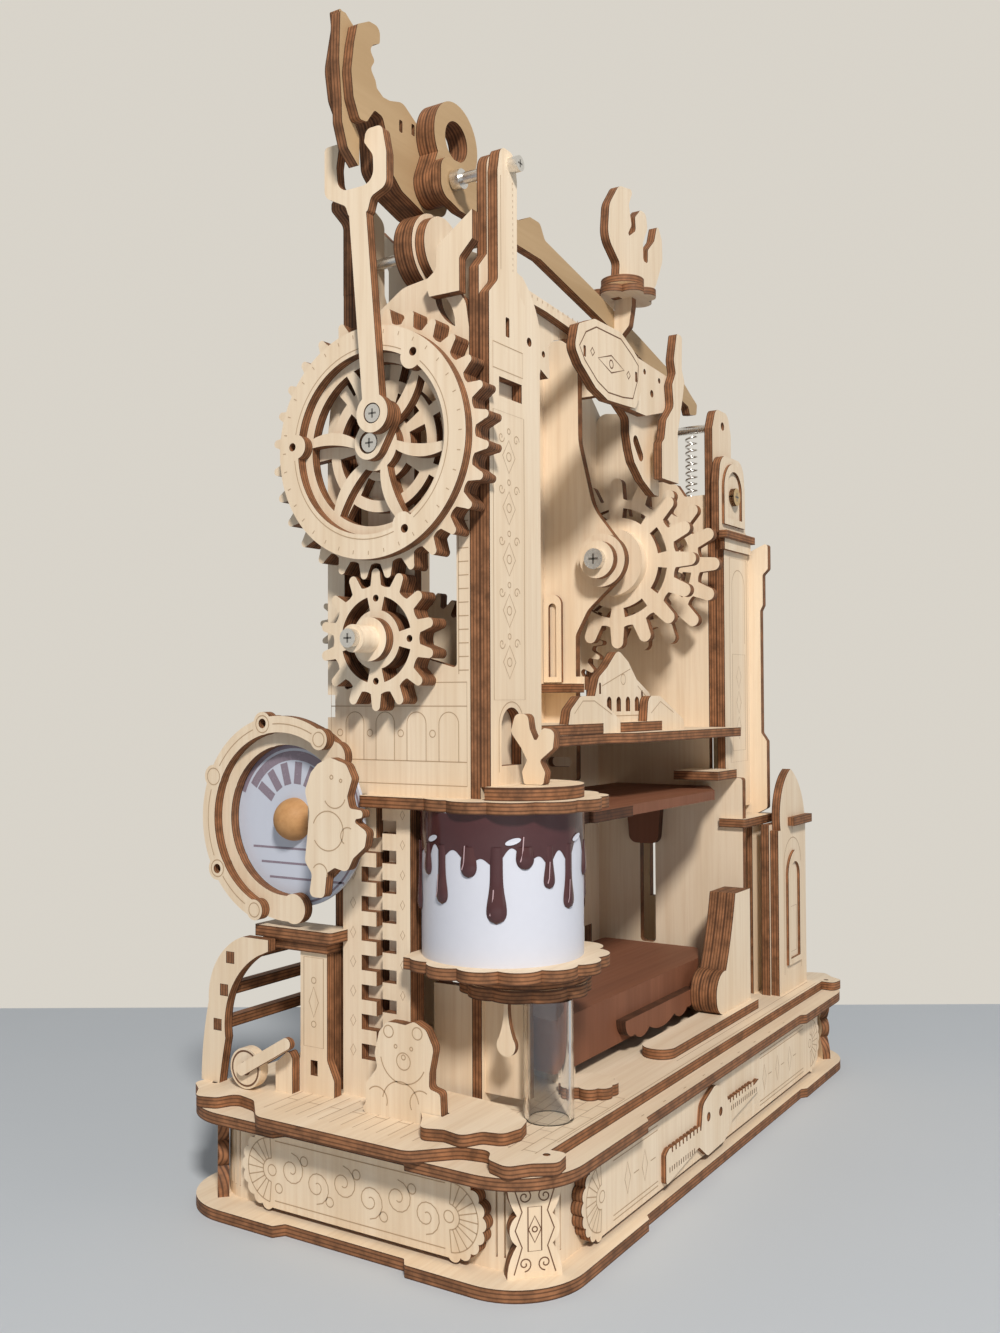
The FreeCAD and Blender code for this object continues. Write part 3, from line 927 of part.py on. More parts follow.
def wrench(beam_front):
    """Three-pronged wrench head over a scalloped crown, on a tab in front of the beam."""
    front = beam_front - PLY
    crown_low, crown_axis = 264.6, (12.5, front + 0.7)
    head = rounded([(8.5, crown_low), (16.5, crown_low), (17, 269.5, 1), (26, 269.5, 4), (36.5, 275.5, 6),
                    (42.4, 286, 6), (42.0, 293.5, 3), (38.4, 298.0, 1.2), (35.8, 291.2, 1.5),
                    (30.6, 286.5, 1), (30.4, 281.8, 1.2), (27.0, 281.8, 1.2), (26.8, 287.8, 2),
                    (30.4, 293.8, 1.5), (29.2, 298.4, 2), (25.0, 298.4, 2), (20.8, 294.6, 1),
                    (21.4, 290.2, 2), (13.7, 285.2, 0.8), (18.2, 291.0, 1.5), (16.2, 297.4, 1.5),
                    (19.6, 303.2, 1), (9.0, 301.2, 6), (2.2, 293.0, 6), (0.8, 282.0, 6), (9.3, 276.0, 2),
                    (8.5, 270.0, 1)])
    head_cut = plate("Y", front - 0.01, head, thickness=PLY + 0.02)
    crown = plate("Z", crown_low, scalloped(*crown_axis, 11.0, 7, 2.2), thickness=2.4).cut(head_cut)
    collar = plate("Z", crown_low + 4, disc(*crown_axis, 7.0), thickness=2.4).cut(head_cut)
    tab = plate("X", 11.0, rounded([(beam_front, crown_low), (beam_front, 254.5), (-15.6, 252.5, 0.5),
                                    (-18.5, 255.5, 1), (-19.6, 262, 1), (-19.6, crown_low)]))
    return [plate("Y", front, head, thickness=PLY - 0.01), tab] + crown.Solids + collar.Solids


# Cross shaft, finger gears and hand crank
def cross_shaft():
    to_pinion = math.degrees(math.atan2(PINION_AXIS[1] - CROSS_AXIS[1], PINION_AXIS[0] - CROSS_AXIS[0]))
    to_gears = math.degrees(math.atan2(GEAR_AXIS[1] - CROSS_AXIS[1], GEAR_AXIS[0] - CROSS_AXIS[0]))
    near = math.dist(PINION_AXIS, CROSS_AXIS) / 2
    far = math.dist(GEAR_AXIS, CROSS_AXIS) / 2
    shaft = rod("X", -81, 43, *CROSS_AXIS, SHAFT_R)
    bore = disc(*CROSS_AXIS, SHAFT_R)
    left = finger_gear(CROSS_AXIS, 16, near - 2.2, near + 1.1, 2.6, 1.7, to_pinion + 180 / 16)
    right = finger_gear(CROSS_AXIS, 24, far - 2.3, far + 1.15, 2.7, 1.6, to_gears)
    save("cross_gears", plate("X", -76, left, [bore]), plate("X", 34, right, [bore]))
    collars = [rod("X", start, start + 2, *CROSS_AXIS, 2.8)
               for start in (INNER_WALL - 2 - MOVING_GAP, MIDDLE_PLATE + PLY + MOVING_GAP)]
    save("cross_shaft", shaft.fuse(collars).removeSplitter())


def finger_gears():
    outline = finger_gear(GEAR_AXIS, 16, 21.8, 28.8, 5.2, 4.4, 90)
    windows = [arc_window(GEAR_AXIS, 15.4, 18.6, k * 45 + 8, k * 45 + 36) for k in range(8)]
    bore = disc(*GEAR_AXIS, SHAFT_R)
    gears = [plate("X", start, outline, windows + [bore]) for start in (26.0, 46.0)]
    to_cross = math.degrees(math.atan2(CROSS_AXIS[1] - GEAR_AXIS[1], CROSS_AXIS[0] - GEAR_AXIS[0]))
    far = math.dist(GEAR_AXIS, CROSS_AXIS) / 2
    spur = plate("X", 34, finger_gear(GEAR_AXIS, 24, far - 2.3, far + 1.15, 2.7, 1.6, to_cross + 180 / 24),
                 [bore])
    hub_sizes = ((11.2, PLY, 6.2), (14.2, 3.2, 8.8), (22.2, 3.8, 11.3), (29.0, 5.0, 6.5), (37.0, 9.0, 6.5))
    hubs = [plate("X", start, disc(*GEAR_AXIS, radius), [bore], thickness=length - 0.01)
            for start, length, radius in hub_sizes]
    shaft = rod("X", 9.0, 90.5, *GEAR_AXIS, SHAFT_R)
    save("finger_gears", *gears, spur, *hubs)
    save("gear_shaft", shaft.fuse(rod("X", 8.8, 11.19, *GEAR_AXIS, 3.4)).removeSplitter())


def hand_crank():
    """Crank arm on the right end of the gear shaft, with a free turning knob."""
    arm_start = OUTER_RIGHT_WALL + PLY + 1.2
    knob_axis = (GEAR_AXIS[0], GEAR_AXIS[1] - 26)
    arm = plate("X", arm_start, capsule(GEAR_AXIS, knob_axis, 6.0), [disc(*GEAR_AXIS, SHAFT_R)])
    pin = rod("X", arm_start + PLY - 0.5, arm_start + 20, *knob_axis, SHAFT_R)
    pin_head = rod("X", arm_start + 18.6, arm_start + 20, *knob_axis, 2.6)
    save("hand_crank", arm.fuse([pin, pin_head]).removeSplitter())
    knob_start = arm_start + PLY + MOVING_GAP
    knob = rod("X", knob_start, knob_start + 14.5, *knob_axis, 5.0)
    knob = knob.makeFillet(1.2, knob.Edges[:1] + knob.Edges[2:3])
    save("crank_knob", knob.cut(rod("X", knob_start - 1, knob_start + 20, *knob_axis, SHAFT_R + RUNNING_GAP)))


# Return spring: one unbroken wire wound on a loop of biarcs
def arc_from(start, tangent_end, end):
    """Arc from start to end whose tangents meet at tangent_end."""
    chord_middle = (start + end) * 0.5
    half_chord = (end - start).Length / 2
    turn = (tangent_end - start).getAngle(end - start)
    if turn < 1e-6:
        return Part.makeLine(start, end)
    rise = (tangent_end - chord_middle).normalize() * (half_chord * math.tan(turn / 2))
    return Part.Arc(start, chord_middle + rise, end).toShape()


def biarc(start, heading, end, end_heading):
    """Two arcs that leave along one heading and arrive along the other."""
    span = end - start
    both = heading + end_heading
    spread = 2 * (1 - heading.dot(end_heading))
    along = span.dot(both)
    reach = (math.sqrt(along * along + spread * span.dot(span)) - along) / spread
    first, second = start + heading * reach, end - end_heading * reach
    join = (first + second) * 0.5
    return [arc_from(start, first, join), arc_from(join, second, end)]


def helix_point(quarter):
    """Point and heading on the spring's helix after so many quarter turns."""
    turn = quarter * math.pi / 2
    climb = (SPRING_TOP - SPRING_BOTTOM) / (4 * SPRING_TURNS)
    x, y = SPRING_AXIS
    point = FreeCAD.Vector(x + SPRING_RADIUS * math.cos(turn), y + SPRING_RADIUS * math.sin(turn),
                           SPRING_BOTTOM + climb * quarter)
    heading = FreeCAD.Vector(-math.sin(turn), math.cos(turn), climb / (SPRING_RADIUS * math.pi / 2))
    return point, heading.normalize()


def least_gap(path):
    """Smallest clear distance between turns, measured on points along the wire."""
    points = [point for edge in path.Edges for point in edge.discretize(9)[:-1]]
    per_turn = len(points) // SPRING_TURNS
    nearest = min((a - b).Length for index, a in enumerate(points)
                  for b in points[index + per_turn // 2:index + per_turn * 2])
    return nearest - 2 * WIRE_R


def return_spring():
    edges = []
    for quarter in range(4 * SPRING_TURNS):
        edges += biarc(*helix_point(quarter), *helix_point(quarter + 1))
    path = Part.Wire(edges)
    start, heading = helix_point(0)
    profile = Part.Wire([Part.Circle(start, heading, WIRE_R).toShape()])
    coil = path.makePipeShell([profile], True, False)
    print("spring's least gap to itself", round(least_gap(path), 2), "mm")
    return coil


def main():
    base()
    save("animal_figures", *animal_figures())
    save("deck_ornaments", cloud_plate(), *small_ornaments())
    left_tower()
    save("pivot_pins", *pivot_pins())
    save("window_ring", *window_ring(), *ring_ledge())
    save("window_dial", *window_dial())
    save("letter_rack_frame", *letter_rack())
    save("letter_rack_shelves", *rack_shelves())
    brayer()
    ink_stand()
    save("press_shelf", *shelf())
    save("shelf_buildings", *shelf_buildings())
    platen()
    tray()
    save("scroll_bracket", *scroll_bracket())
    save("back_panel", back_panel())
    save("middle_plate", *middle_plate())
    right_tower()
    facade()
    wheel()
    pinion()
    save("con_rod", con_rod())
    lever()
    cross_shaft()
    finger_gears()
    hand_crank()
    save("return_spring", return_spring())


main()
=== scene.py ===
import json
import math

import bpy
import numpy as np
from mathutils import Matrix, Vector
from mathutils.bvhtree import BVHTree


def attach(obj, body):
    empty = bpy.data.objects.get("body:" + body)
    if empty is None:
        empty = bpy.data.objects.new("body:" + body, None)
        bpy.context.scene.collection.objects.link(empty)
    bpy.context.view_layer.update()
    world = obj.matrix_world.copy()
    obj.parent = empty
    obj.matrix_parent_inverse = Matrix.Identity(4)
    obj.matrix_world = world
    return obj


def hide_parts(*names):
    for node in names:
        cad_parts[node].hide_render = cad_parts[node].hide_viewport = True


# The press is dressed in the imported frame, in metres; MM turns the CAD's millimetres into metres.
MM = 0.001
PLY = 3.0

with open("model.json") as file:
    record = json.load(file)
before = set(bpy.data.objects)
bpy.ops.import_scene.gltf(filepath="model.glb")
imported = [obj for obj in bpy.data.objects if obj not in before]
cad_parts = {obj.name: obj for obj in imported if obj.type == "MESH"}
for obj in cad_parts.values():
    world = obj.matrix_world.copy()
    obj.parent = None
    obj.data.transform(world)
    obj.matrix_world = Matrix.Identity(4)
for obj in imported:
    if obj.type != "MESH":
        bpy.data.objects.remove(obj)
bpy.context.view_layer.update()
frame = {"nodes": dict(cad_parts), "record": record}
nodes = frame["nodes"]
bodies = frame["record"]["behaviour"]["bodies"]
body_of_node = {node: body for body, members in bodies.items() for node in members}
slot_of_node = {part["node"]: part["material_slot"] for part in frame["record"]["subparts"]}

# Camera found from the photograph: millimetres, and pixels of a 1000 x 1333 image
PHOTO_LONG_SIDE = 1333.0
FOCAL_PIXELS = 1250.7
SENSOR = 36.0
CLIP_START = 0.01
CAMERA_AT = Vector((-352.73, -196.42, 135.17))
CAMERA_RIGHT = Vector((0.53089, -0.84743, -0.0043))
CAMERA_UP = Vector((-0.01856, -0.01669, 0.99970))
TABLE_REACH = 551.0
TABLE_HALF_WIDTH = 2.0
TABLE_LENGTH = 3.0

# Lamps and surroundings: places and sizes in metres, power in watts
LIGHT_TARGET = (0, 0, 0.13)
KEY_PLACE = (-0.88, -0.74, 1.0)
KEY_SIZE = 0.2
KEY_POWER = 19.5
KEY_COLOUR = (1.0, 0.95, 0.89)
FILL_PLACE = (0.2, -1.3, 0.5)
FILL_SIZE = 1.0
FILL_POWER = 1.5
FILL_COLOUR = (0.9, 0.94, 1.0)
SKY_COLOUR = (0.86, 0.92, 1.0)
SKY_STRENGTH = 0.22
WALL_COLOUR = (0.69, 0.655, 0.59)


# Scene: camera, light, floor
def make_camera():
    """Camera at the photograph's place; returns the direction it looks along."""
    data = bpy.data.cameras.new("camera")
    data.sensor_width = SENSOR
    data.lens = FOCAL_PIXELS * SENSOR / PHOTO_LONG_SIDE
    data.clip_start = CLIP_START
    camera = bpy.data.objects.new("camera", data)
    right = CAMERA_RIGHT.normalized()
    back = right.cross(CAMERA_UP).normalized()
    up = back.cross(right)
    turn = Matrix((right, up, back)).transposed().to_4x4()
    camera.matrix_world = Matrix.Translation(CAMERA_AT * MM) @ turn
    bpy.context.scene.collection.objects.link(camera)
    bpy.context.scene.camera = camera
    return -back


def area_light(name, place, size, power, colour):
    """Round area lamp aimed at LIGHT_TARGET."""
    data = bpy.data.lights.new(name, "AREA")
    data.shape = "DISK"
    data.size = size
    data.energy = power
    data.color = colour
    light = bpy.data.objects.new(name, data)
    aim = (Vector(LIGHT_TARGET) - Vector(place)).to_track_quat("-Z", "Y")
    light.matrix_world = Matrix.Translation(place) @ aim.to_matrix().to_4x4()
    bpy.context.scene.collection.objects.link(light)


def make_world():
    """Soft cool light from all round; camera, clear and shiny parts see the pale wall instead."""
    world = bpy.data.worlds.new("studio")
    bpy.context.scene.world = world
    world.use_nodes = True
    tree = world.node_tree
    tree.nodes.clear()
    sky = tree.nodes.new("ShaderNodeBackground")
    sky.inputs["Color"].default_value = (*SKY_COLOUR, 1)
    sky.inputs["Strength"].default_value = SKY_STRENGTH
    wall = tree.nodes.new("ShaderNodeBackground")
    wall.inputs["Color"].default_value = (*WALL_COLOUR, 1)
    wall.inputs["Strength"].default_value = 1.0
    path = tree.nodes.new("ShaderNodeLightPath")
    seen = path.outputs["Is Camera Ray"]
    for ray in ("Is Transmission Ray", "Is Glossy Ray"):
        either = tree.nodes.new("ShaderNodeMath")
        either.operation = "MAXIMUM"
        tree.links.new(seen, either.inputs[0])
        tree.links.new(path.outputs[ray], either.inputs[1])
        seen = either.outputs[0]
    mix = tree.nodes.new("ShaderNodeMixShader")
    out = tree.nodes.new("ShaderNodeOutputWorld")
    tree.links.new(seen, mix.inputs[0])
    tree.links.new(sky.outputs[0], mix.inputs[1])
    tree.links.new(wall.outputs[0], mix.inputs[2])
    tree.links.new(mix.outputs[0], out.inputs["Surface"])


def make_floor(forward):
    """Pale table top that ends where the photograph's does."""
    ahead = Vector((forward.x, forward.y, 0)).normalized()
    side = Vector((ahead.y, -ahead.x, 0))
    eye = Vector((CAMERA_AT.x, CAMERA_AT.y, 0)) * MM
    far = eye + ahead * TABLE_REACH * MM
    left, right = far - side * TABLE_HALF_WIDTH, far + side * TABLE_HALF_WIDTH
    corners = [left, right, right - ahead * TABLE_LENGTH, left - ahead * TABLE_LENGTH]
    mesh = bpy.data.meshes.new("floor")
    mesh.from_pydata([tuple(corner) for corner in corners], [], [(0, 1, 2, 3)])
    floor = bpy.data.objects.new("floor", mesh)
    bpy.context.scene.collection.objects.link(floor)
    floor.data.materials.append(floor_material())


# Materials
class Shader:
    """Small helper that builds one material's nodes and links."""

    def __init__(self, name):
        self.material = bpy.data.materials.new(name)
        self.material.use_nodes = True
        self.tree = self.material.node_tree
        self.surface = self.tree.nodes["Principled BSDF"]

    def node(self, kind, values=None, links=None, **settings):
        """New shader node with input values, linked inputs and settings."""
        made = self.tree.nodes.new("ShaderNode" + kind)
        for setting, value in settings.items():
            setattr(made, setting, value)
        for socket, value in (values or {}).items():
            made.inputs[socket].default_value = value
        for socket, source in (links or {}).items():
            self.tree.links.new(source, made.inputs[socket])
        return made

    def set(self, **values):
        for socket, value in values.items():
            self.surface.inputs[socket.replace("_", " ")].default_value = value

    def link(self, source, socket):
        self.tree.links.new(source, self.surface.inputs[socket])

    def place(self, scale):
        """Object coordinates, scaled along each axis."""
        where = self.node("TexCoord").outputs["Object"]
        return self.node("Mapping", {"Scale": scale}, {"Vector": where}).outputs[0]

    def noise(self, scale, detail=3.0, roughness=0.55, place=None):
        where = place or self.place((1, 1, 1))
        values = {"Scale": scale, "Detail": detail, "Roughness": roughness}
        return self.node("TexNoise", values, {"Vector": where}).outputs["Fac"]

    def ramp(self, factor, stops):
        """Colour ramp through (position, colour) stops."""
        made = self.node("ValToRGB", links={"Fac": factor})
        elements = made.color_ramp.elements
        while len(elements) < len(stops):
            elements.new(0.5)
        for element, (at, colour) in zip(elements, stops):
            element.position = at
            element.color = (*colour, 1)
        return made.outputs["Color"]

    def mix(self, factor, first, second, blend="MIX"):
        """Mix of two colours; the node's colour sockets are its sixth and seventh inputs."""
        made = self.node("Mix", data_type="RGBA", blend_type=blend)
        for index, value in ((0, factor), (6, first), (7, second)):
            if isinstance(value, (int, float)):
                made.inputs[index].default_value = value
            elif isinstance(value, tuple):
                made.inputs[index].default_value = (*value, 1)
            else:
                self.tree.links.new(value, made.inputs[index])
        return made.outputs[2]

    def span(self, value, low, high):
        """Stretch of a 0 to 1 value to low to high."""
        made = self.node("MapRange", {"To Min": low, "To Max": high}, {"Value": value})
        return made.outputs[0]

    def bump(self, height, distance, strength=1.0):
        made = self.node("Bump", {"Strength": strength, "Distance": distance}, {"Height": height})
        self.link(made.outputs[0], "Normal")


def wood_face(name, grain, light, dark, fibre):
    """Plywood face with long fine fibres; grain is the (x, y, z) stretch of the pattern."""
    shader = Shader(name)
    along = shader.place(grain)
    fibres = shader.noise(1.0, 6.0, 0.62, along)
    bands = shader.noise(0.16, 3.0, 0.5, along)
    cloud = shader.noise(22.0, 2.0)
    base = shader.ramp(bands, [(0.3, dark), (0.68, light)])
    streaked = shader.mix(shader.ramp(fibres, [(0.42, (0.0,) * 3), (0.72, (0.55,) * 3)]), base, fibre)
    toned = shader.mix(shader.span(cloud, 0.0, 0.3), streaked, dark, "MULTIPLY")
    shader.link(toned, "Base Color")
    shader.link(shader.span(fibres, 0.5, 0.72), "Roughness")
    shader.set(Specular_IOR_Level=0.32)
    shader.bump(fibres, 0.00006, 0.5)
    return shader.material


def burnt_edge(name, light, dark):
    """Laser-scorched edge whose plies show as layers, read from each corner's depth into the sheet."""
    shader = Shader(name)
    depth = shader.node("Attribute", attribute_name="ply_depth").outputs["Fac"]
    layer = shader.node("Math", {1: 1.0}, {0: depth}, operation="FRACT").outputs[0]
    plies = shader.ramp(layer, [(0.06, dark), (0.14, light), (0.24, light), (0.33, dark), (0.42, light),
                                (0.58, light), (0.67, dark), (0.76, light), (0.86, light), (0.94, dark)])
    scorch = shader.noise(260.0, 4.0, 0.6)
    patches = shader.noise(45.0, 2.0)
    shade = shader.ramp(scorch, [(0.34, (0.34,) * 3), (0.66, (1.0,) * 3)])
    burnt = shader.mix(1.0, plies, shade, "MULTIPLY")
    warm = shader.mix(shader.span(patches, 0.0, 0.3), burnt, light)
    shader.link(warm, "Base Color")
    shader.link(shader.span(scorch, 0.55, 0.8), "Roughness")
    shader.set(Specular_IOR_Level=0.3)
    shader.bump(scorch, 0.0001, 0.5)
    return shader.material


def metal(name, colour, rough):
    shader = Shader(name)
    scratches = shader.noise(900.0, 4.0, 0.6)
    worn = tuple(0.6 * channel for channel in colour)
    shader.link(shader.mix(shader.span(scratches, 0.0, 0.35), colour, worn), "Base Color")
    shader.set(Metallic=1.0)
    shader.link(shader.span(scratches, rough - 0.08, rough + 0.12), "Roughness")
    shader.bump(scratches, 0.00002, 0.4)
    return shader.material


def moulded(name, colour, rough, spread=0.08):
    shader = Shader(name)
    grain = shader.noise(400.0, 3.0, 0.5)
    deep = tuple(0.5 * channel for channel in colour)
    shader.link(shader.mix(shader.span(grain, 0.0, spread), colour, deep), "Base Color")
    shader.link(shader.span(grain, rough - 0.05, rough + 0.08), "Roughness")
    shader.bump(grain, 0.00003, 0.3)
    return shader.material


def clear_plastic():
    shader = Shader("clear_plastic")
    haze = shader.noise(120.0, 2.0)
    shader.link(shader.mix(shader.span(haze, 0.0, 0.06), (0.96, 0.98, 1.0), (0.8, 0.85, 0.9)), "Base Color")
    shader.set(Transmission_Weight=1.0, IOR=1.45)
    shader.link(shader.span(haze, 0.02, 0.07), "Roughness")
    shader.bump(haze, 0.00004, 0.2)
    return shader.material


def floor_material():
    shader = Shader("floor_paint")
    cloud = shader.noise(9.0, 3.0)
    shader.link(shader.mix(shader.span(cloud, 0.0, 0.4), TABLE_LIGHT, TABLE_DARK), "Base Color")
    shader.link(shader.span(cloud, 0.6, 0.75), "Roughness")
    shader.bump(cloud, 0.0002, 0.2)
    return shader.material


# Colours in linear light
TABLE_LIGHT = (0.58, 0.62, 0.66)
TABLE_DARK = (0.53, 0.58, 0.63)
FACE_LIGHT = (0.89, 0.765, 0.60)
FACE_DARK = (0.81, 0.665, 0.49)
FACE_FIBRE = (0.72, 0.55, 0.38)
BURNT_LIGHT = (0.36, 0.16, 0.072)
BURNT_DARK = (0.05, 0.02, 0.01)
BROWN_LIGHT = (0.26, 0.105, 0.055)
BROWN_DARK = (0.20, 0.078, 0.04)
# Darker tan for the lever's upright faces: partly a darker ply and partly painted shade.
SHADED_TAN_LIGHT = (0.56, 0.40, 0.23)
SHADED_TAN_DARK = (0.48, 0.33, 0.18)

# Stretch of the fibre pattern along x, y and z. The small number is the way that the fibres run:
# upright, along the base, or along the knob's turning axis.
UPRIGHT_GRAIN = (700, 700, 26)
LEVEL_GRAIN = (26, 700, 700)
KNOB_GRAIN = (60, 500, 500)

upright_face = wood_face("ply_upright", UPRIGHT_GRAIN, FACE_LIGHT, FACE_DARK, FACE_FIBRE)
level_face = wood_face("ply_level", LEVEL_GRAIN, FACE_LIGHT, FACE_DARK, FACE_FIBRE)
scorched = burnt_edge("ply_scorched_edge", BURNT_LIGHT, BURNT_DARK)
brown_upright = wood_face("brown_ply_upright", UPRIGHT_GRAIN, BROWN_LIGHT, BROWN_DARK, BROWN_DARK)
brown_level = wood_face("brown_ply_level", LEVEL_GRAIN, BROWN_LIGHT, BROWN_DARK, BROWN_DARK)
shaded_tan_upright = wood_face("shaded_tan_ply_upright", LEVEL_GRAIN, SHADED_TAN_LIGHT, SHADED_TAN_DARK, SHADED_TAN_DARK)
brown_edge = burnt_edge("brown_ply_edge", (0.11, 0.045, 0.022), BURNT_DARK)
steel = metal("bright_steel", (0.80, 0.79, 0.77), 0.26)
brass = metal("brass_screw", (0.72, 0.52, 0.27), 0.34)
# Dark metal for the screw heads' crossed recesses: painted shade in the recesses.
recess_shade_metal = metal("screw_recess", (0.26, 0.25, 0.24), 0.45)
clear = clear_plastic()
sleeve = moulded("white_sleeve", (0.66, 0.68, 0.76), 0.38)
film = moulded("grey_blue_film", (0.60, 0.64, 0.74), 0.22)
film_print = moulded("film_print", (0.27, 0.22, 0.27), 0.25)
ink = moulded("dark_ink_print", (0.075, 0.024, 0.026), 0.16, 0.3)
ink_shine = moulded("ink_highlight", (0.50, 0.34, 0.36), 0.25)
engraved = moulded("laser_engraved_line", (0.52, 0.36, 0.22), 0.7, 0.4)
deep_engraved = moulded("deep_engraved_line", (0.16, 0.075, 0.035), 0.75, 0.4)
knob_wood = wood_face("turned_knob", KNOB_GRAIN, (0.62, 0.36, 0.16), (0.52, 0.28, 0.11), (0.42, 0.21, 0.08))


# Plywood dressing: a copy of each CAD sheet with light faces and scorched edges.
# Corners closer than WELD, in metres, are one point. Two neighbours whose normals have a cosine above
# SAME_PLANE or SAME_CURVE belong together. The rest are millimetres of play round a ply's thickness.
WELD = 2e-6
SAME_PLANE = 0.9998
SAME_CURVE = 0.8
ALONG_AXIS = 0.05
NO_LIMIT = 1e9
EDGE_PLAY = 0.2
BENT_PLAY = 0.45
SHEET_PLAY = 0.5
RAY_START = 0.02


def gather(count, first, second):
    """Group number of each of count items joined by the (first, second) pairs."""
    leader = list(range(count))

    def find(item):
        while leader[item] != item:
            leader[item] = leader[leader[item]]
            item = leader[item]
        return item

    for a, b in zip(first.tolist(), second.tolist()):
        a, b = find(a), find(b)
        if a != b:
            leader[b] = a
    roots = np.array([find(item) for item in range(count)])
    return np.unique(roots, return_inverse=True)[1]


def read_mesh(mesh):
    points = np.zeros(len(mesh.vertices) * 3)
    mesh.vertices.foreach_get("co", points)
    points = points.reshape(-1, 3)
    corners = np.zeros(len(mesh.loops), np.int64)
    mesh.loops.foreach_get("vertex_index", corners)
    triangles = corners.reshape(-1, 3)
    return points, triangles


def neighbours(points, triangles):
    """Pairs of triangles that share an edge, by position; an edge where stacked sheets touch joins none."""
    keys = np.unique(np.round(points / WELD).astype(np.int64), axis=0, return_inverse=True)[1].reshape(-1)
    welded = keys[triangles]
    edges = np.concatenate([welded[:, [0, 1]], welded[:, [1, 2]], welded[:, [2, 0]]])
    edges.sort(axis=1)
    owner = np.tile(np.arange(len(triangles)), 3)
    order = np.lexsort((edges[:, 1], edges[:, 0]))
    edges, owner = edges[order], owner[order]
    same = np.all(edges[1:] == edges[:-1], axis=1)
    run_before = np.concatenate([[False], same[:-1]])
    run_after = np.concatenate([same[1:], [False]])
    pair = same & ~run_before & ~run_after
    return owner[:-1][pair], owner[1:][pair]


def group_reach(groups, corners, axes):
    """Size of each group along each triangle's own axis, in millimetres."""
    along = np.einsum("tcj,tj->tc", corners, axes)
    low = np.full(groups.max() + 1, NO_LIMIT)
    high = -low
    np.minimum.at(low, groups, along.min(axis=1))
    np.maximum.at(high, groups, along.max(axis=1))
    return (high - low)[groups]


def axis_reach(groups, corners):
    """Size of each triangle's group along x, y and z."""
    count = len(corners)
    reach = [group_reach(groups, corners, np.tile(axis, (count, 1))) for axis in np.eye(3)]
    return np.stack(reach, axis=1)


def axis_lean(groups, normals, size):
    """How far each triangle's group faces x, y and z: 0 where the axis lies in the surface."""
    total = np.bincount(groups, size)
    lean = [np.bincount(groups, np.abs(normals[:, axis]) * size) / total for axis in range(3)]
    return np.stack(lean, axis=1)[groups]


def bent_sheets(lean, reach):
    """Triangles of curved surfaces wider than a ply, such as the bent corner walls."""
    width = np.where(lean < ALONG_AXIS, reach, NO_LIMIT).min(axis=1)
    return (width > PLY + BENT_PLAY) & (width < NO_LIMIT)


def flat_width(flat, lead, corners, normals):
    """Smaller of the two sizes of each triangle's flat group, measured in its plane."""
    sideways = np.cross(normals, (0, 0, 1))
    sideways[np.abs(normals[:, 2]) > 0.99] = (1, 0, 0)
    sideways /= np.maximum(np.linalg.norm(sideways, axis=1), 1e-9)[:, None]
    upward = np.cross(normals, sideways)
    leader = lead[flat]
    across = group_reach(flat, corners, sideways[leader])
    along = group_reach(flat, corners, upward[leader])
    return np.minimum(across, along)


def sheet_faces(points, triangles, corners, normals, size, flat):
    """Triangles of flat groups that are wider than a ply and have the sheet's other face one ply behind."""
    lead = np.zeros(flat.max() + 1, np.int64)
    lead[flat[np.argsort(size)]] = np.argsort(size)
    narrow = flat_width(flat, lead, corners, normals)
    tree = BVHTree.FromPolygons([tuple(point) for point in points / MM], triangles.tolist())
    is_face = np.zeros(len(triangles), bool)
    for group, index in enumerate(lead):
        if narrow[index] < PLY + EDGE_PLAY:
            continue
        inward = Vector(-normals[index])
        start = Vector(corners[index].mean(axis=0)) + inward * RAY_START
        hit = tree.ray_cast(start, inward, 3 * PLY)
        if hit[0] is not None and hit[3] < PLY + SHEET_PLAY:
            is_face[flat == group] = True
    return is_face


def ply_depth(smooth, corners, lean, reach):
    """Depth of every corner into the sheet, in plies, along the thinnest axis of its surface."""
    thin = np.argmin(np.where(lean < ALONG_AXIS, reach, NO_LIMIT), axis=1)
    low = np.full((smooth.max() + 1, 3), NO_LIMIT)
    np.minimum.at(low, smooth, corners.min(axis=1))
    rows = np.arange(len(corners))
    return (corners[rows[:, None], np.arange(3)[None], thin[:, None]] - low[smooth, thin][:, None]) / PLY


def dress_ply(node, upright=upright_face, level=level_face, edge=scorched):
    """Piece that stands for one plywood node: light faces, and edges that show the plies."""
    mesh = nodes[node].data.copy()
    points, triangles = read_mesh(mesh)
    corners = points[triangles] / MM
    cross = np.cross(corners[:, 1] - corners[:, 0], corners[:, 2] - corners[:, 0])
    size = np.linalg.norm(cross, axis=1)
    normals = cross / np.maximum(size, 1e-12)[:, None]
    first, second = neighbours(points, triangles)
    agree = np.einsum("ij,ij->i", normals[first], normals[second])
    flat = gather(len(triangles), first[agree > SAME_PLANE], second[agree > SAME_PLANE])
    smooth = gather(len(triangles), first[agree > SAME_CURVE], second[agree > SAME_CURVE])
    lean = axis_lean(smooth, normals, size)
    reach = axis_reach(smooth, corners)
    is_face = sheet_faces(points, triangles, corners, normals, size, flat) | bent_sheets(lean, reach)

    layers = mesh.attributes.new("ply_depth", "FLOAT", "CORNER")
    layers.data.foreach_set("value", ply_depth(smooth, corners, lean, reach).reshape(-1))
    mesh.materials.clear()
    for material in (upright, level, edge):
        mesh.materials.append(material)
    slots = np.where(is_face, np.where(np.abs(normals[:, 2]) > 0.9, 1, 0), 2)
    mesh.polygons.foreach_set("material_index", slots.astype(np.int32))
    piece = bpy.data.objects.new("dressed_" + node, mesh)
    bpy.context.scene.collection.objects.link(piece)
    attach(piece, body_of_node[node])
    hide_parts(node)


def give(node, material):
    """One material for a CAD node that is shown as it is."""
    mesh = nodes[node].data
    mesh.materials.clear()
    mesh.materials.append(material)


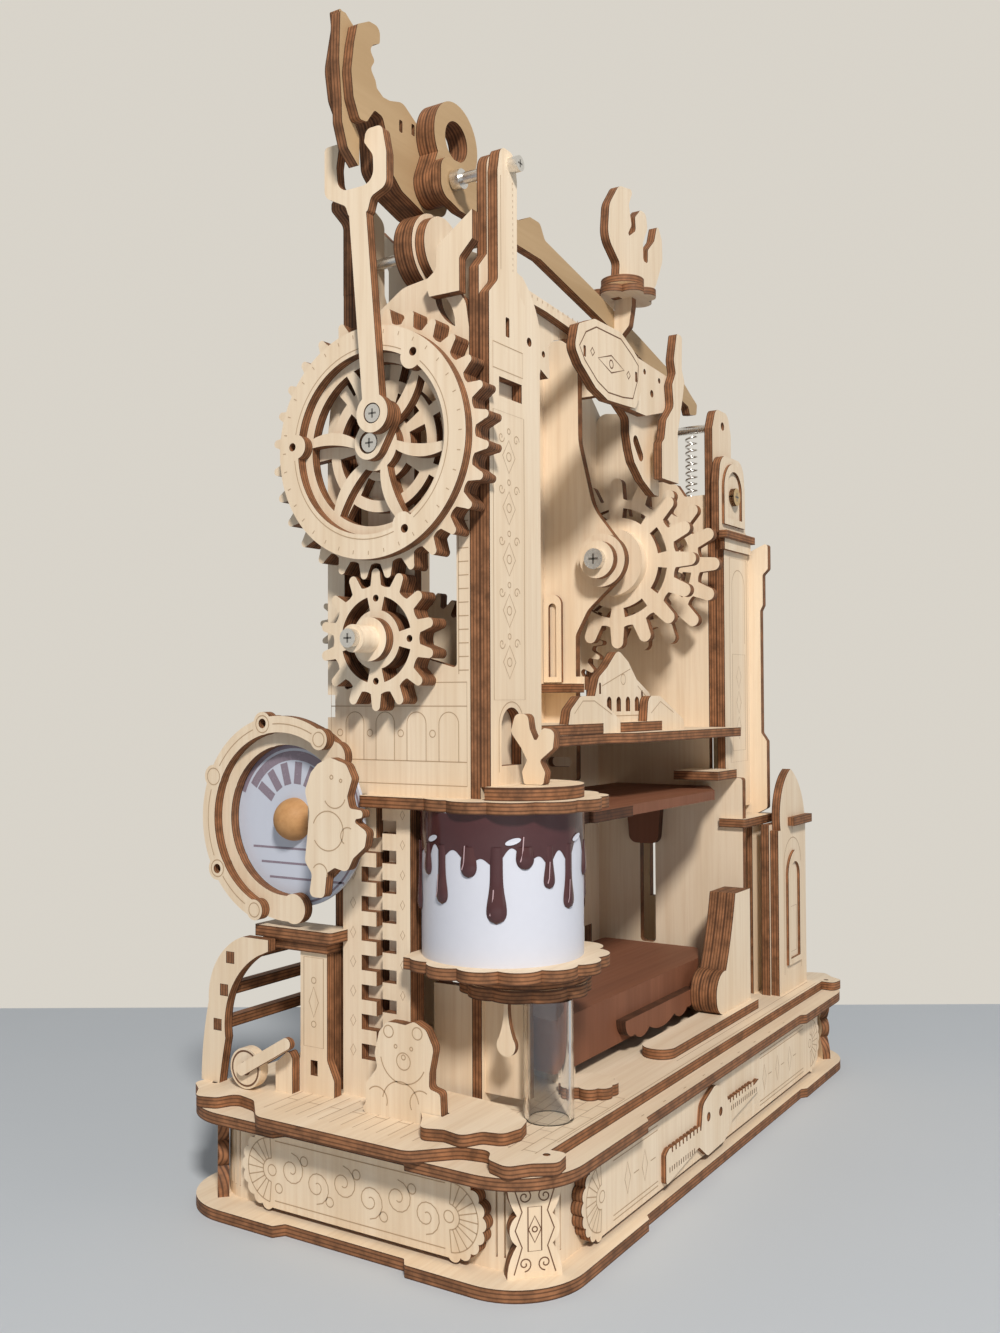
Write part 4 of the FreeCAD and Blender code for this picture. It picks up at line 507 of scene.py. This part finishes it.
# Drawing on faces: lines are lists of (u, v) millimetres, as the outlines of the CAD plates are
def circle(u, v, radius, start=0, end=360):
    """Circle, or the arc from start to end in degrees."""
    count = max(6, int(abs(end - start) * radius ** 0.5 / 22))
    turns = [math.radians(start + (end - start) * step / count) for step in range(count + 1)]
    return [(u + radius * math.cos(turn), v + radius * math.sin(turn)) for turn in turns]


def spiral(u, v, radius, turns, start, hand):
    """Scroll that winds inwards from start; hand is 1 or -1."""
    points = []
    steps_per_turn = 14
    count = int(turns * steps_per_turn)
    for step in range(count + 1):
        turn = math.radians(start) + hand * step / steps_per_turn * math.tau
        reach = radius * (1 - 0.85 * step / count)
        points.append((u + reach * math.cos(turn), v + reach * math.sin(turn)))
    return points


def box_line(u0, v0, u1, v1):
    return [(u0, v0), (u1, v0), (u1, v1), (u0, v1), (u0, v0)]


def lozenge(u, v, half_u, half_v):
    return [(u - half_u, v), (u, v - half_v), (u + half_u, v), (u, v + half_v), (u - half_u, v)]


def arch_line(u0, u1, bottom, top):
    radius = (u1 - u0) / 2
    return [(u0, bottom)] + circle((u0 + u1) / 2, top - radius, radius, 180, 0) + [(u1, bottom)]


def fan(u, v, inner, outer, start, end, count):
    """Radial lines between two arcs, like a shell."""
    step = (end - start) / count
    lines = []
    for index in range(count + 1):
        turn = math.radians(start + index * step)
        lines.append([(u + r * math.cos(turn), v + r * math.sin(turn)) for r in (inner, outer)])
    return lines + [circle(u, v, inner, start, end), circle(u, v, outer, start, end)]


def dashes(start, end, count, share):
    """Row of short lines that fill the given share of the way."""
    lines = []
    for index in range(count):
        near, far = index / count, (index + share) / count
        lines.append([tuple(a + (b - a) * t for a, b in zip(start, end)) for t in (near, far)])
    return lines


def on_face(facing, depth):
    """Function from (u, v) to space for a plane that faces one axis."""
    if facing == "X":
        return lambda u, v: Vector((depth, u, v)) * MM
    if facing == "Y":
        return lambda u, v: Vector((u, depth, v)) * MM
    return lambda u, v: Vector((u, v, depth)) * MM


def new_piece(name, node, vertices, faces, material):
    """Piece that rides with the given node's body and carries the given material."""
    mesh = bpy.data.meshes.new(name)
    mesh.from_pydata([tuple(vertex) for vertex in vertices], [], faces)
    mesh.materials.append(material)
    piece = bpy.data.objects.new(name, mesh)
    bpy.context.scene.collection.objects.link(piece)
    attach(piece, body_of_node[node])
    return piece


def strokes(name, node, lines, to_space, width, material=engraved):
    """Thin ribbons along the lines, lying on a face of the node."""
    vertices = []
    faces = []
    for line in lines:
        closed = math.dist(line[0], line[-1]) < 1e-6
        first = len(vertices)
        last = len(line) - 1
        for index, (u, v) in enumerate(line):
            before = line[index - 1] if index else (line[-2] if closed else line[0])
            after = line[index + 1] if index < last else (line[1] if closed else line[-1])
            along = Vector((after[0] - before[0], after[1] - before[1])).normalized()
            du, dv = -along.y * width / 2, along.x * width / 2
            vertices += [to_space(u + du, v + dv), to_space(u - du, v - dv)]
        faces += [(left, left + 1, left + 3, left + 2) for left in range(first, first + 2 * last, 2)]
    return new_piece(name, node, vertices, faces, material)


# Faces of the CAD that carry drawings: millimetres along the axis in the name
UPPER_DECK_Z = 30.7
LOWER_DECK_Z = 27.7
LEFT_WALL_X = -93.0
RACK_WALL_X = -92.5
RACK_COLUMN_X = -97.0
WINDOW_RING_X = -101.5
FILM_X = -95.1
WHEEL_RING_X = -102.5
BEAR_X = -101.5
SEATED_X = -107.6
ROLLER_X = -103.9
LEFT_POST_Y = -31.0
RIGHT_POST_Y = -32.0
PIER_Y = -46.0
SIGN_Y = -28.0
FACADE_Y = -25.0
CHAPEL_Y = -25.0
ROOFS_Y = -28.2
BASE_WALL_X = 109.0
BASE_WALL_Y = 54.15
BASE_MIDDLE_Z = 13.9

# Centres of round parts, as the (u, v) of the face that they lie on
WINDOW_CENTRE = (30.5, 102.5)
WHEEL_CENTRE = (-0.5, 200)
ROLLER_CENTRE = (40.2, 36.4)

# Distance that a drawn line stands off its face
PROUD = 0.04


def proud_face(facing, plane):
    """Function from (u, v) to just outside a face that looks away from the press's middle."""
    return on_face(facing, plane + math.copysign(PROUD, plane))


def around(centre, radius, degrees):
    turn = math.radians(degrees)
    return centre[0] + radius * math.cos(turn), centre[1] + radius * math.sin(turn)


def rosettes(ends):
    """Shell at each end of a panel; ends are (u, first angle)."""
    lines = []
    for u, first in ends:
        lines += fan(u, BASE_MIDDLE_Z, 3.0, 8.2, first, first + 170, 10)
        lines.append(circle(u, BASE_MIDDLE_Z, 1.4))
    return lines


def engrave_base_ends():
    """Shells and a row of scrolls on the two short panels."""
    for label, side in (("left", -1), ("right", 1)):
        lines = rosettes(((-29.0, 95), (26.0, -85)))
        lines += [[(-28, 6.3), (25, 6.3)], [(-28, 21.5), (25, 21.5)]]
        for index in range(6):
            hand = 1 if index % 2 else -1
            centre = -1.5 + (index - 2.5) * 8.4
            lines.append(spiral(centre, BASE_MIDDLE_Z + 1.2 * hand, 4.4, 1.6, 90 * hand, hand))
            lines.append(circle(centre + 4.2, BASE_MIDDLE_Z - 4.2 * hand, 1.2))
        face = proud_face("X", side * BASE_WALL_X)
        strokes("engraving_end_" + label, "base_ornaments", lines, face, width=0.28)


def engrave_base_sides():
    """Shells, lozenges and rules on the two long panels, and the slots of the tool on the front one, drawn
    as dark dashes of painted shade.
    """
    for label, side in (("front", -1), ("back", 1)):
        lines = rosettes(((-80.0, 95), (77.0, -85)))
        for u in (-66, -56, 32, 44, 56):
            lines.append(lozenge(u, BASE_MIDDLE_Z, 1.6, 4.0))
            lines.append([(u + 3.5, BASE_MIDDLE_Z), (u + 6.5, BASE_MIDDLE_Z)])
        for v in (6.0, 7.2, 20.6, 21.8):
            lines += [[(-74, v), (-48, v)], [(28, v), (70, v)]]
        face = proud_face("Y", side * BASE_WALL_Y)
        strokes("engraving_long_" + label, "base_ornaments", lines, face, width=0.28)
    # Dark dashes for the tool's slots: painted shade in the slots.
    slot_shade = dashes((-44, 9.0), (-26, 9.0), 12, 0.3) + dashes((0, 13.2), (22, 13.2), 14, 0.3)
    face = proud_face("Y", -BASE_WALL_Y - 0.5 * PLY)
    strokes("tool_slots_painted_shade", "base_ornaments", slot_shade, face, width=1.4, material=deep_engraved)


def engrave_base_corners():
    """Scrolls and a lozenge on the waisted ornament at each corner."""
    centre_x, centre_y, reach = 93.0, 38.15, 13.3 + PLY + PROUD
    lines = [lozenge(0, BASE_MIDDLE_Z, 1.5, 3.0), circle(0, BASE_MIDDLE_Z, 0.6)]
    lines.append(box_line(-1.6, 9.0, 1.6, 19.0))
    for hand in (-1, 1):
        lines.append(spiral(2.4 * hand, 21.4, 1.7, 1.4, 90, hand))
        lines.append(spiral(2.4 * hand, 6.2, 1.7, 1.4, -90, -hand))
        waist = ((4.9, 4.0), (3.0, 10.0), (4.6, BASE_MIDDLE_Z), (3.0, 18.0), (4.9, 23.6))
        lines.append([(u * hand, v) for u, v in waist])
    for side_x in (-1, 1):
        for side_y in (-1, 1):
            out = Vector((side_x, side_y, 0)).normalized()
            along = Vector((-out.y, out.x, 0))
            foot = Vector((side_x * centre_x, side_y * centre_y, 0)) + out * reach

            def corner_face(u, v):
                return (foot + along * u + Vector((0, 0, v))) * MM

            name = "engraving_corner_%d%d" % (side_x > 0, side_y > 0)
            strokes(name, "base_ornaments", lines, corner_face, width=0.3, material=deep_engraved)


def engrave_decks():
    """Paving on the upper deck's left end, and a border line along both decks."""
    lines = []
    pitch, brick = 3.6, 9.0
    for row in range(22):
        y = -49.5 + row * pitch
        lines.append([(-112 if y > -22 else -104, y), (-58 if y < -30 else -95, y)])
        for column in range(6):
            x = -103 + (column + (row % 2) / 2) * brick
            if y < -30 or x < -99:
                lines.append([(x, y), (x, y + pitch)])
    lines += [[(-95, -50.3), (96, -50.3)], [(-20, -47.2), (96, -47.2)]]
    strokes("engraving_deck", "deck_upper", lines, proud_face("Z", UPPER_DECK_Z), width=0.22)
    rim = dashes((-60, -55.2), (60, -55.2), 9, 0.12)
    strokes("engraving_rim", "deck_lower", rim, proud_face("Z", LOWER_DECK_Z), width=0.3)


def engrave_left_wall():
    """Arcade and courses on the left wall, and lozenges between the teeth of the rack wall."""
    wall = [box_line(-24, 113, 19.5, 139), [(-24, 119), (19.5, 119)], [(-24, 133), (19.5, 133)]]
    for index in range(4):
        u = -21.5 + index * 10
        wall += [arch_line(u, u + 6, 119, 131.5), circle(u + 8, 126, 0.9)]
    for row in range(24):
        v = 142 + row * 3.4
        wall.append([(-24.6, v), (-21.6, v)])
    wall += [[(-21.6, 141), (-21.6, 224)], [(-3, 142), (-3, 162)], [(3, 142), (3, 162)]]
    strokes("engraving_left_wall", "left_outer_wall", wall, proud_face("X", LEFT_WALL_X), width=0.24)
    notches = []
    for index in range(8):
        notches.append(lozenge(12.6, 96.6 - index * 7.7, 0.9, 1.5))
        notches.append(lozenge(-3.6, 51.0 + index * 7.7, 0.7, 1.2))
    strokes("engraving_rack", "left_rack_wall", notches, proud_face("X", RACK_WALL_X), width=0.2)


def engrave_left_post():
    """Lozenges and scrolls up the post, over an arch."""
    post = [box_line(-91.4, 134.5, -76.6, 207), box_line(-91.4, 217.5, -77, 224)]
    for index in range(5):
        v = 144 + index * 13
        post += [lozenge(-84, v, 3.0, 4.2), circle(-84, v, 1.1), circle(-84, v + 6.5, 0.7)]
        post += [spiral(-84 + side * 3.6, v + 4.6, 1.5, 1.2, 0, side) for side in (-1, 1)]
    post += dashes((-81.6, 244), (-81.6, 268), 16, 0.4) + [[(-87.4, 243), (-87.4, 267)]]
    post.append(arch_line(-89.2, -77.3, 116.5, 134.0))
    strokes("engraving_left_post", "left_post_overlay", post, proud_face("Y", LEFT_POST_Y), width=0.26)


def engrave_window_ring():
    """Arcs and round bosses on the window ring, and a border on the rack's column."""
    spans = ((-62, -38), (-24, 17), (33, 69), (85, 116))
    ring = [circle(*WINDOW_CENTRE, 25.9, start, end) for start, end in spans]
    ring += [circle(*around(WINDOW_CENTRE, 26.4, turn), 2.3) for turn in (25, 77, 328)]
    ring += [circle(*around(WINDOW_CENTRE, 25.8, turn), 1.9) for turn in (-70, 122)]
    strokes("engraving_ring", "window_ring", ring, proud_face("X", WINDOW_RING_X), width=0.28)
    column = [box_line(19, 43, 25.7, 66.5), lozenge(22.3, 54.8, 1.6, 4.0), circle(22.3, 60.5, 0.8),
              circle(22.3, 49, 0.8)]
    strokes("engraving_column", "letter_rack_frame", column, proud_face("X", RACK_COLUMN_X), width=0.24)


def engrave_wheel():
    """Three arcs and a tick for every 10 degrees on the wheel's ring."""
    lines = [circle(*WHEEL_CENTRE, 24.6, start, start + 104) for start in (11, 131, 251)]
    for index in range(36):
        lines.append([around(WHEEL_CENTRE, radius, 10 * index) for radius in (27.6, 28.6)])
    strokes("engraving_wheel", "wheel_crank", lines, proud_face("X", WHEEL_RING_X), width=0.24)


def engrave_sign():
    """Border and a plain lozenge on the sign plate."""
    border = [(-36.5, 240.2), (-30, 243.2), (-14, 243.5), (-6.5, 240.4), (-2.0, 238.0), (-2.6, 233.4),
              (-6.0, 227.0), (-12.8, 226.0), (-22.5, 225.5), (-29.4, 227.4), (-37.4, 232.0), (-40.4, 235.4),
              (-36.5, 240.2)]
    lines = [border, lozenge(-20.5, 234.4, 8.5, 2.6), circle(-20.5, 234.4, 1.2)]
    lines += [lozenge(-32.5, 235.4, 1.2, 1.2), lozenge(-9.0, 233.6, 1.2, 1.2)]
    face = proud_face("Y", SIGN_Y)
    strokes("engraving_sign", "sign_plate", lines, face, width=0.4, material=deep_engraved)


def engrave_right_tower():
    """Arched panels on the right post and on the column before it."""
    overlay = [box_line(62, 112, 78, 184), box_line(64, 116, 76, 150), arch_line(64, 76, 154, 180)]
    overlay += [lozenge(70, v, 2.2, 4.0) for v in (124, 133, 142)]
    strokes("engraving_right_post", "right_post_overlay", overlay, proud_face("Y", RIGHT_POST_Y), width=0.26)
    pier = [arch_line(75.6, 93.4, 37, 84.5), lozenge(84.5, 90, 1.6, 2.6), box_line(80.6, 44, 88.4, 60)]
    strokes("engraving_pier", "right_arch_panel", pier, proud_face("Y", PIER_Y), width=0.3)


def engrave_facade():
    """Cornice over the arch, and the roofs and walls of the little buildings."""
    cornice = dashes((-62, 244.2), (24, 242.2), 30, 0.12)
    strokes("engraving_cornice", "facade_arch", cornice, proud_face("Y", FACADE_Y), width=0.8)
    roof = [[(-45, 130.5), (-40, 134), (-33, 134), (-22, 130)], [(5, 130), (12, 133.6), (22, 130)]]
    strokes("engraving_ridges", "shelf_buildings", roof, proud_face("Y", ROOFS_Y), width=0.26)
    chapel = [circle(-8, 140.5, 1.6), [(-26, 129.4), (11, 129.4)], [(-22, 138.4), (-3, 143.8)]]
    chapel.append([(2, 138.6), (9, 134.8)])
    strokes("engraving_chapel", "shelf_buildings", chapel, proud_face("Y", CHAPEL_Y), width=0.26)


def engrave_figures():
    """A few plain curves for the two animals, and the rim of the ink roller."""
    bear = [circle(-10.3, 46.6, 7.0, 205, 350), circle(-14.6, 52.6, 1.5), circle(-5.8, 52.0, 1.5)]
    bear += [circle(-12.8, 48.6, 0.45), circle(-8.0, 48.6, 0.45), circle(-10.4, 45.2, 2.1)]
    bear += [circle(-10.4, 46.2, 0.6), circle(-9.5, 34.5, 5.6, 10, 170), circle(-2.2, 34.6, 3.2, 40, 200)]
    bear.append(circle(-15.8, 35.4, 3.4, -30, 120))
    strokes("engraving_bear", "animal_figures", bear, proud_face("X", BEAR_X), width=0.3)
    rim = [circle(*ROLLER_CENTRE, radius) for radius in (4.6, 1.6)]
    face = proud_face("X", ROLLER_X)
    strokes("engraving_roller", "brayer_roller", rim, face, width=0.5, material=deep_engraved)
    seated = [circle(8.6, 101.6, 5.0, 20, 330), circle(7.4, 115.2, 0.5), circle(4.4, 114.4, 0.4)]
    seated += [circle(6.4, 111.0, 3.6, 200, 330), circle(2.2, 100.6, 2.2, -60, 120)]
    seated.append(circle(11.2, 90.8, 2.4, 30, 200))
    strokes("engraving_seated", "animal_figures", seated, proud_face("X", SEATED_X), width=0.3)


# Ink pot: a white sleeve with running ink
CUP_AXIS = (-79.0, -25.5)
CUP_R = 20.8
CUP_TOP = 106.9
CUP_FRONT = math.radians(212)
INK_LOW = 99.2
DRIP_TOP = 99.0

# Each drip: place round the sleeve, height of its lower end and half width
DRIPS = [
    (-58, 89, 1.7), (-48, 84, 2.1), (-40, 92, 1.6), (-30, 81, 2.4), (-22.5, 91, 1.7), (-16.5, 84.5, 2.0),
    (-8.5, 91.5, 2.2), (-1.5, 80.5, 2.5), (5.5, 93.5, 2.3), (12.0, 88.5, 1.7), (18.5, 83.0, 2.0),
    (28, 90, 1.8), (37, 82, 2.3), (47, 91, 1.7), (56, 86, 2.1), (65, 90, 1.7)]


def around_cup(s, z, lift):
    """Point at s millimetres along the sleeve from its front, lifted off the surface."""
    turn = CUP_FRONT + s / CUP_R
    reach = CUP_R + lift
    return Vector((CUP_AXIS[0] + reach * math.cos(turn), CUP_AXIS[1] + reach * math.sin(turn), z)) * MM


def ink_edge(s):
    """Height of the ink's lower edge, drawn down where a drip starts."""
    low = INK_LOW + 1.1 * math.sin(s / 3.1 + 0.7) + 0.7 * math.sin(s / 1.7)
    for place, _, width in DRIPS:
        low -= 4.2 * math.exp(-((s - place) / (1.25 * width)) ** 2)
    return low


def ink_band():
    """Band of ink round the top of the sleeve, thinning to its wavy lower edge."""
    columns, rows = 420, 6
    girth = 2 * math.pi * CUP_R
    vertices = []
    faces = []
    for column in range(columns):
        s = -girth / 2 + girth * column / columns
        low = ink_edge(s)
        for row in range(rows):
            share = row / (rows - 1)
            lift = 0.08 + 0.3 * (1 - share ** 4)
            vertices.append(around_cup(s, CUP_TOP + (low - CUP_TOP) * share, lift))
        here, after = column * rows, (column + 1) % columns * rows
        faces += [(here + row, after + row, after + row + 1, here + row + 1) for row in range(rows - 1)]
    new_piece("ink_band", "ink_cup", vertices, faces, ink).data.shade_smooth()


def drip_half_width(z, low, width):
    """Half width of a drip at height z: a round bulb below, a narrower neck above."""
    bulb = low + 1.15 * width
    if z < bulb:
        return width * math.sqrt(max(1 - ((z - bulb) / (bulb - low)) ** 2, 0.0))
    return width * (0.62 + 0.38 * math.exp(-((z - bulb) / (1.9 * width)) ** 2))


def ink_drips():
    """Rounded runs of ink down the sleeve."""
    steps, across = 22, 7
    vertices = []
    faces = []
    for place, low, width in DRIPS:
        first = len(vertices)
        for step in range(steps + 1):
            z = DRIP_TOP + (low - DRIP_TOP) * step / steps
            half = drip_half_width(z, low, width)
            for index in range(across):
                u = 2 * index / (across - 1) - 1
                lift = 0.1 + 0.45 * half * math.sqrt(max(1 - u * u, 0.0))
                vertices.append(around_cup(place + u * half, z, lift))
        for step in range(steps):
            for index in range(across - 1):
                a = first + step * across + index
                faces.append((a, a + 1, a + across + 1, a + across))
    new_piece("ink_drips", "ink_cup", vertices, faces, ink).data.shade_smooth()


def ink_highlights():
    """A light line down each drip, and an oval of bare sleeve beside every third one."""
    shines = []
    for place, low, width in DRIPS:
        shine = ((0.25, 2.2, 3.0), (0.38, 1.6, 0.0), (0.6, 0.9, 0.0))
        shines.append([(place - inset * width, low + rise * width + extra) for inset, rise, extra in shine])

    def over_ink(s, z):
        return around_cup(s, z, 1.0)

    strokes("ink_shine", "ink_cup", shines, over_ink, width=0.26, material=ink_shine)
    corners = 16
    vertices = []
    faces = []
    for place, _, width in DRIPS[1::3]:
        faces.append(tuple(range(len(vertices), len(vertices) + corners)))
        for step in range(corners):
            turn = math.tau * step / corners
            s = place + 1.6 * width + 1.9 * math.cos(turn)
            vertices.append(around_cup(s, 100.4 + 0.75 * math.sin(turn) + 0.5 * math.cos(turn), 0.5))
    new_piece("ink_islands", "ink_cup", vertices, faces, sleeve)


# Window dial: printed film and a turned knob, which lies in front of KNOB_START
KNOB_START = -95.12


def window_dial():
    points, triangles = read_mesh(nodes["window_dial"].data)
    is_knob = points[triangles].mean(axis=1)[:, 0] < KNOB_START * MM
    for name, keep, material in (("dial_film", ~is_knob, film), ("dial_knob", is_knob, knob_wood)):
        faces = [tuple(corner) for corner in triangles[keep].tolist()]
        piece = new_piece(name, "window_dial", points, faces, material)
        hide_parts("window_dial")
        if name == "dial_knob":
            piece.data.shade_smooth()


def dial_print():
    """Plain bars and rules printed on the film."""
    face = proud_face("X", FILM_X)
    bars = [circle(*WINDOW_CENTRE, 20.4, 20, 170), circle(*WINDOW_CENTRE, 17.2, 30, 160)]
    for index in range(7):
        bars.append([around(WINDOW_CENTRE, radius, 35 + 20 * index) for radius in (9.5, 15.5)])
    strokes("dial_print", "window_dial", bars, face, width=2.5, material=film_print)
    u, v = WINDOW_CENTRE
    rules = [[(u - 17, v - 8 - 4 * row), (u + 15 - 3 * row, v - 8 - 4 * row)] for row in range(3)]
    rules += [circle(u, v, 22.4), [(u - 21, v - 2.5), (u - 7, v - 2.5)]]
    strokes("dial_rules", "window_dial", rules, face, width=0.6, material=film_print)


# Screw heads: node, axis, plane of the head, centre (u, v) and radius
BRASS_HEAD = ("right_post_overlay", "Y", -33.8, 65.2, 205.5, 3.1)
SCREW_HEADS = [
    ("pinion_shaft", "X", -111.0, -0.5, 150.0, 2.4),
    ("wheel_shaft", "X", -102.2, -0.5, 200.0, 2.4),
    ("wheel_shaft", "X", -105.8, -4.3, 206.4, 2.3),
    ("gear_shaft", "X", 8.8, -6.0, 180.3, 3.4),
    ("pivot_pins", "Y", -33.8, -82.3, 271.2, 2.0),
    BRASS_HEAD]


def screw_recesses():
    """Crossed recesses in the screw heads, drawn as dark crosses of painted shade."""
    for index, (node, facing, plane, u, v, radius) in enumerate(SCREW_HEADS):
        arm = 0.5 * radius
        cross = [[(u - arm, v), (u + arm, v)], [(u, v - arm), (u, v + arm)]]
        face = on_face(facing, plane - PROUD)
        strokes("screw_recess_%d" % index, node, cross, face, width=0.2 * radius, material=recess_shade_metal)


def brass_head():
    """The right post's screw head shows brass."""
    node, _, plane, u, v, radius = BRASS_HEAD
    points, triangles = read_mesh(nodes[node].data)
    middle = points[triangles].mean(axis=1) / MM
    near = np.hypot(middle[:, 0] - u, middle[:, 2] - v) < radius + 0.1
    head = triangles[near & (middle[:, 1] < RIGHT_POST_Y + 0.05) & (middle[:, 1] > plane - 0.1)]
    lifted = points + np.array((0, -0.02, 0)) * MM
    faces = [tuple(corner) for corner in head.tolist()]
    new_piece("brass_head", node, lifted, faces, brass)


forward = make_camera()
make_world()
make_floor(forward)
area_light("key", KEY_PLACE, KEY_SIZE, KEY_POWER, KEY_COLOUR)
area_light("fill", FILL_PLACE, FILL_SIZE, FILL_POWER, FILL_COLOUR)

for node, slot in slot_of_node.items():
    if node == "brayer_roller":
        dress_ply(node, edge=upright_face)
    # The lever's upright faces take the darker tan, which is partly painted shade.
    elif node in ("lever_plies", "lever_beam"):
        dress_ply(node, upright=shaded_tan_upright)
    elif slot == "ply":
        dress_ply(node)
    elif slot == "brown_ply":
        dress_ply(node, brown_upright, brown_level, brown_edge)
for node in ("pivot_pins", "wheel_shaft", "pinion_shaft", "cross_shaft", "gear_shaft", "return_spring"):
    give(node, steel)
give("ink_tube", clear)
give("ink_cup", sleeve)
ink_band()
ink_drips()
ink_highlights()
window_dial()
dial_print()
screw_recesses()
brass_head()
engrave_base_ends()
engrave_base_sides()
engrave_base_corners()
engrave_decks()
engrave_left_wall()
engrave_left_post()
engrave_window_ring()
engrave_wheel()
engrave_sign()
engrave_right_tower()
engrave_facade()
engrave_figures()

bpy.context.scene.view_settings.view_transform = "Standard"
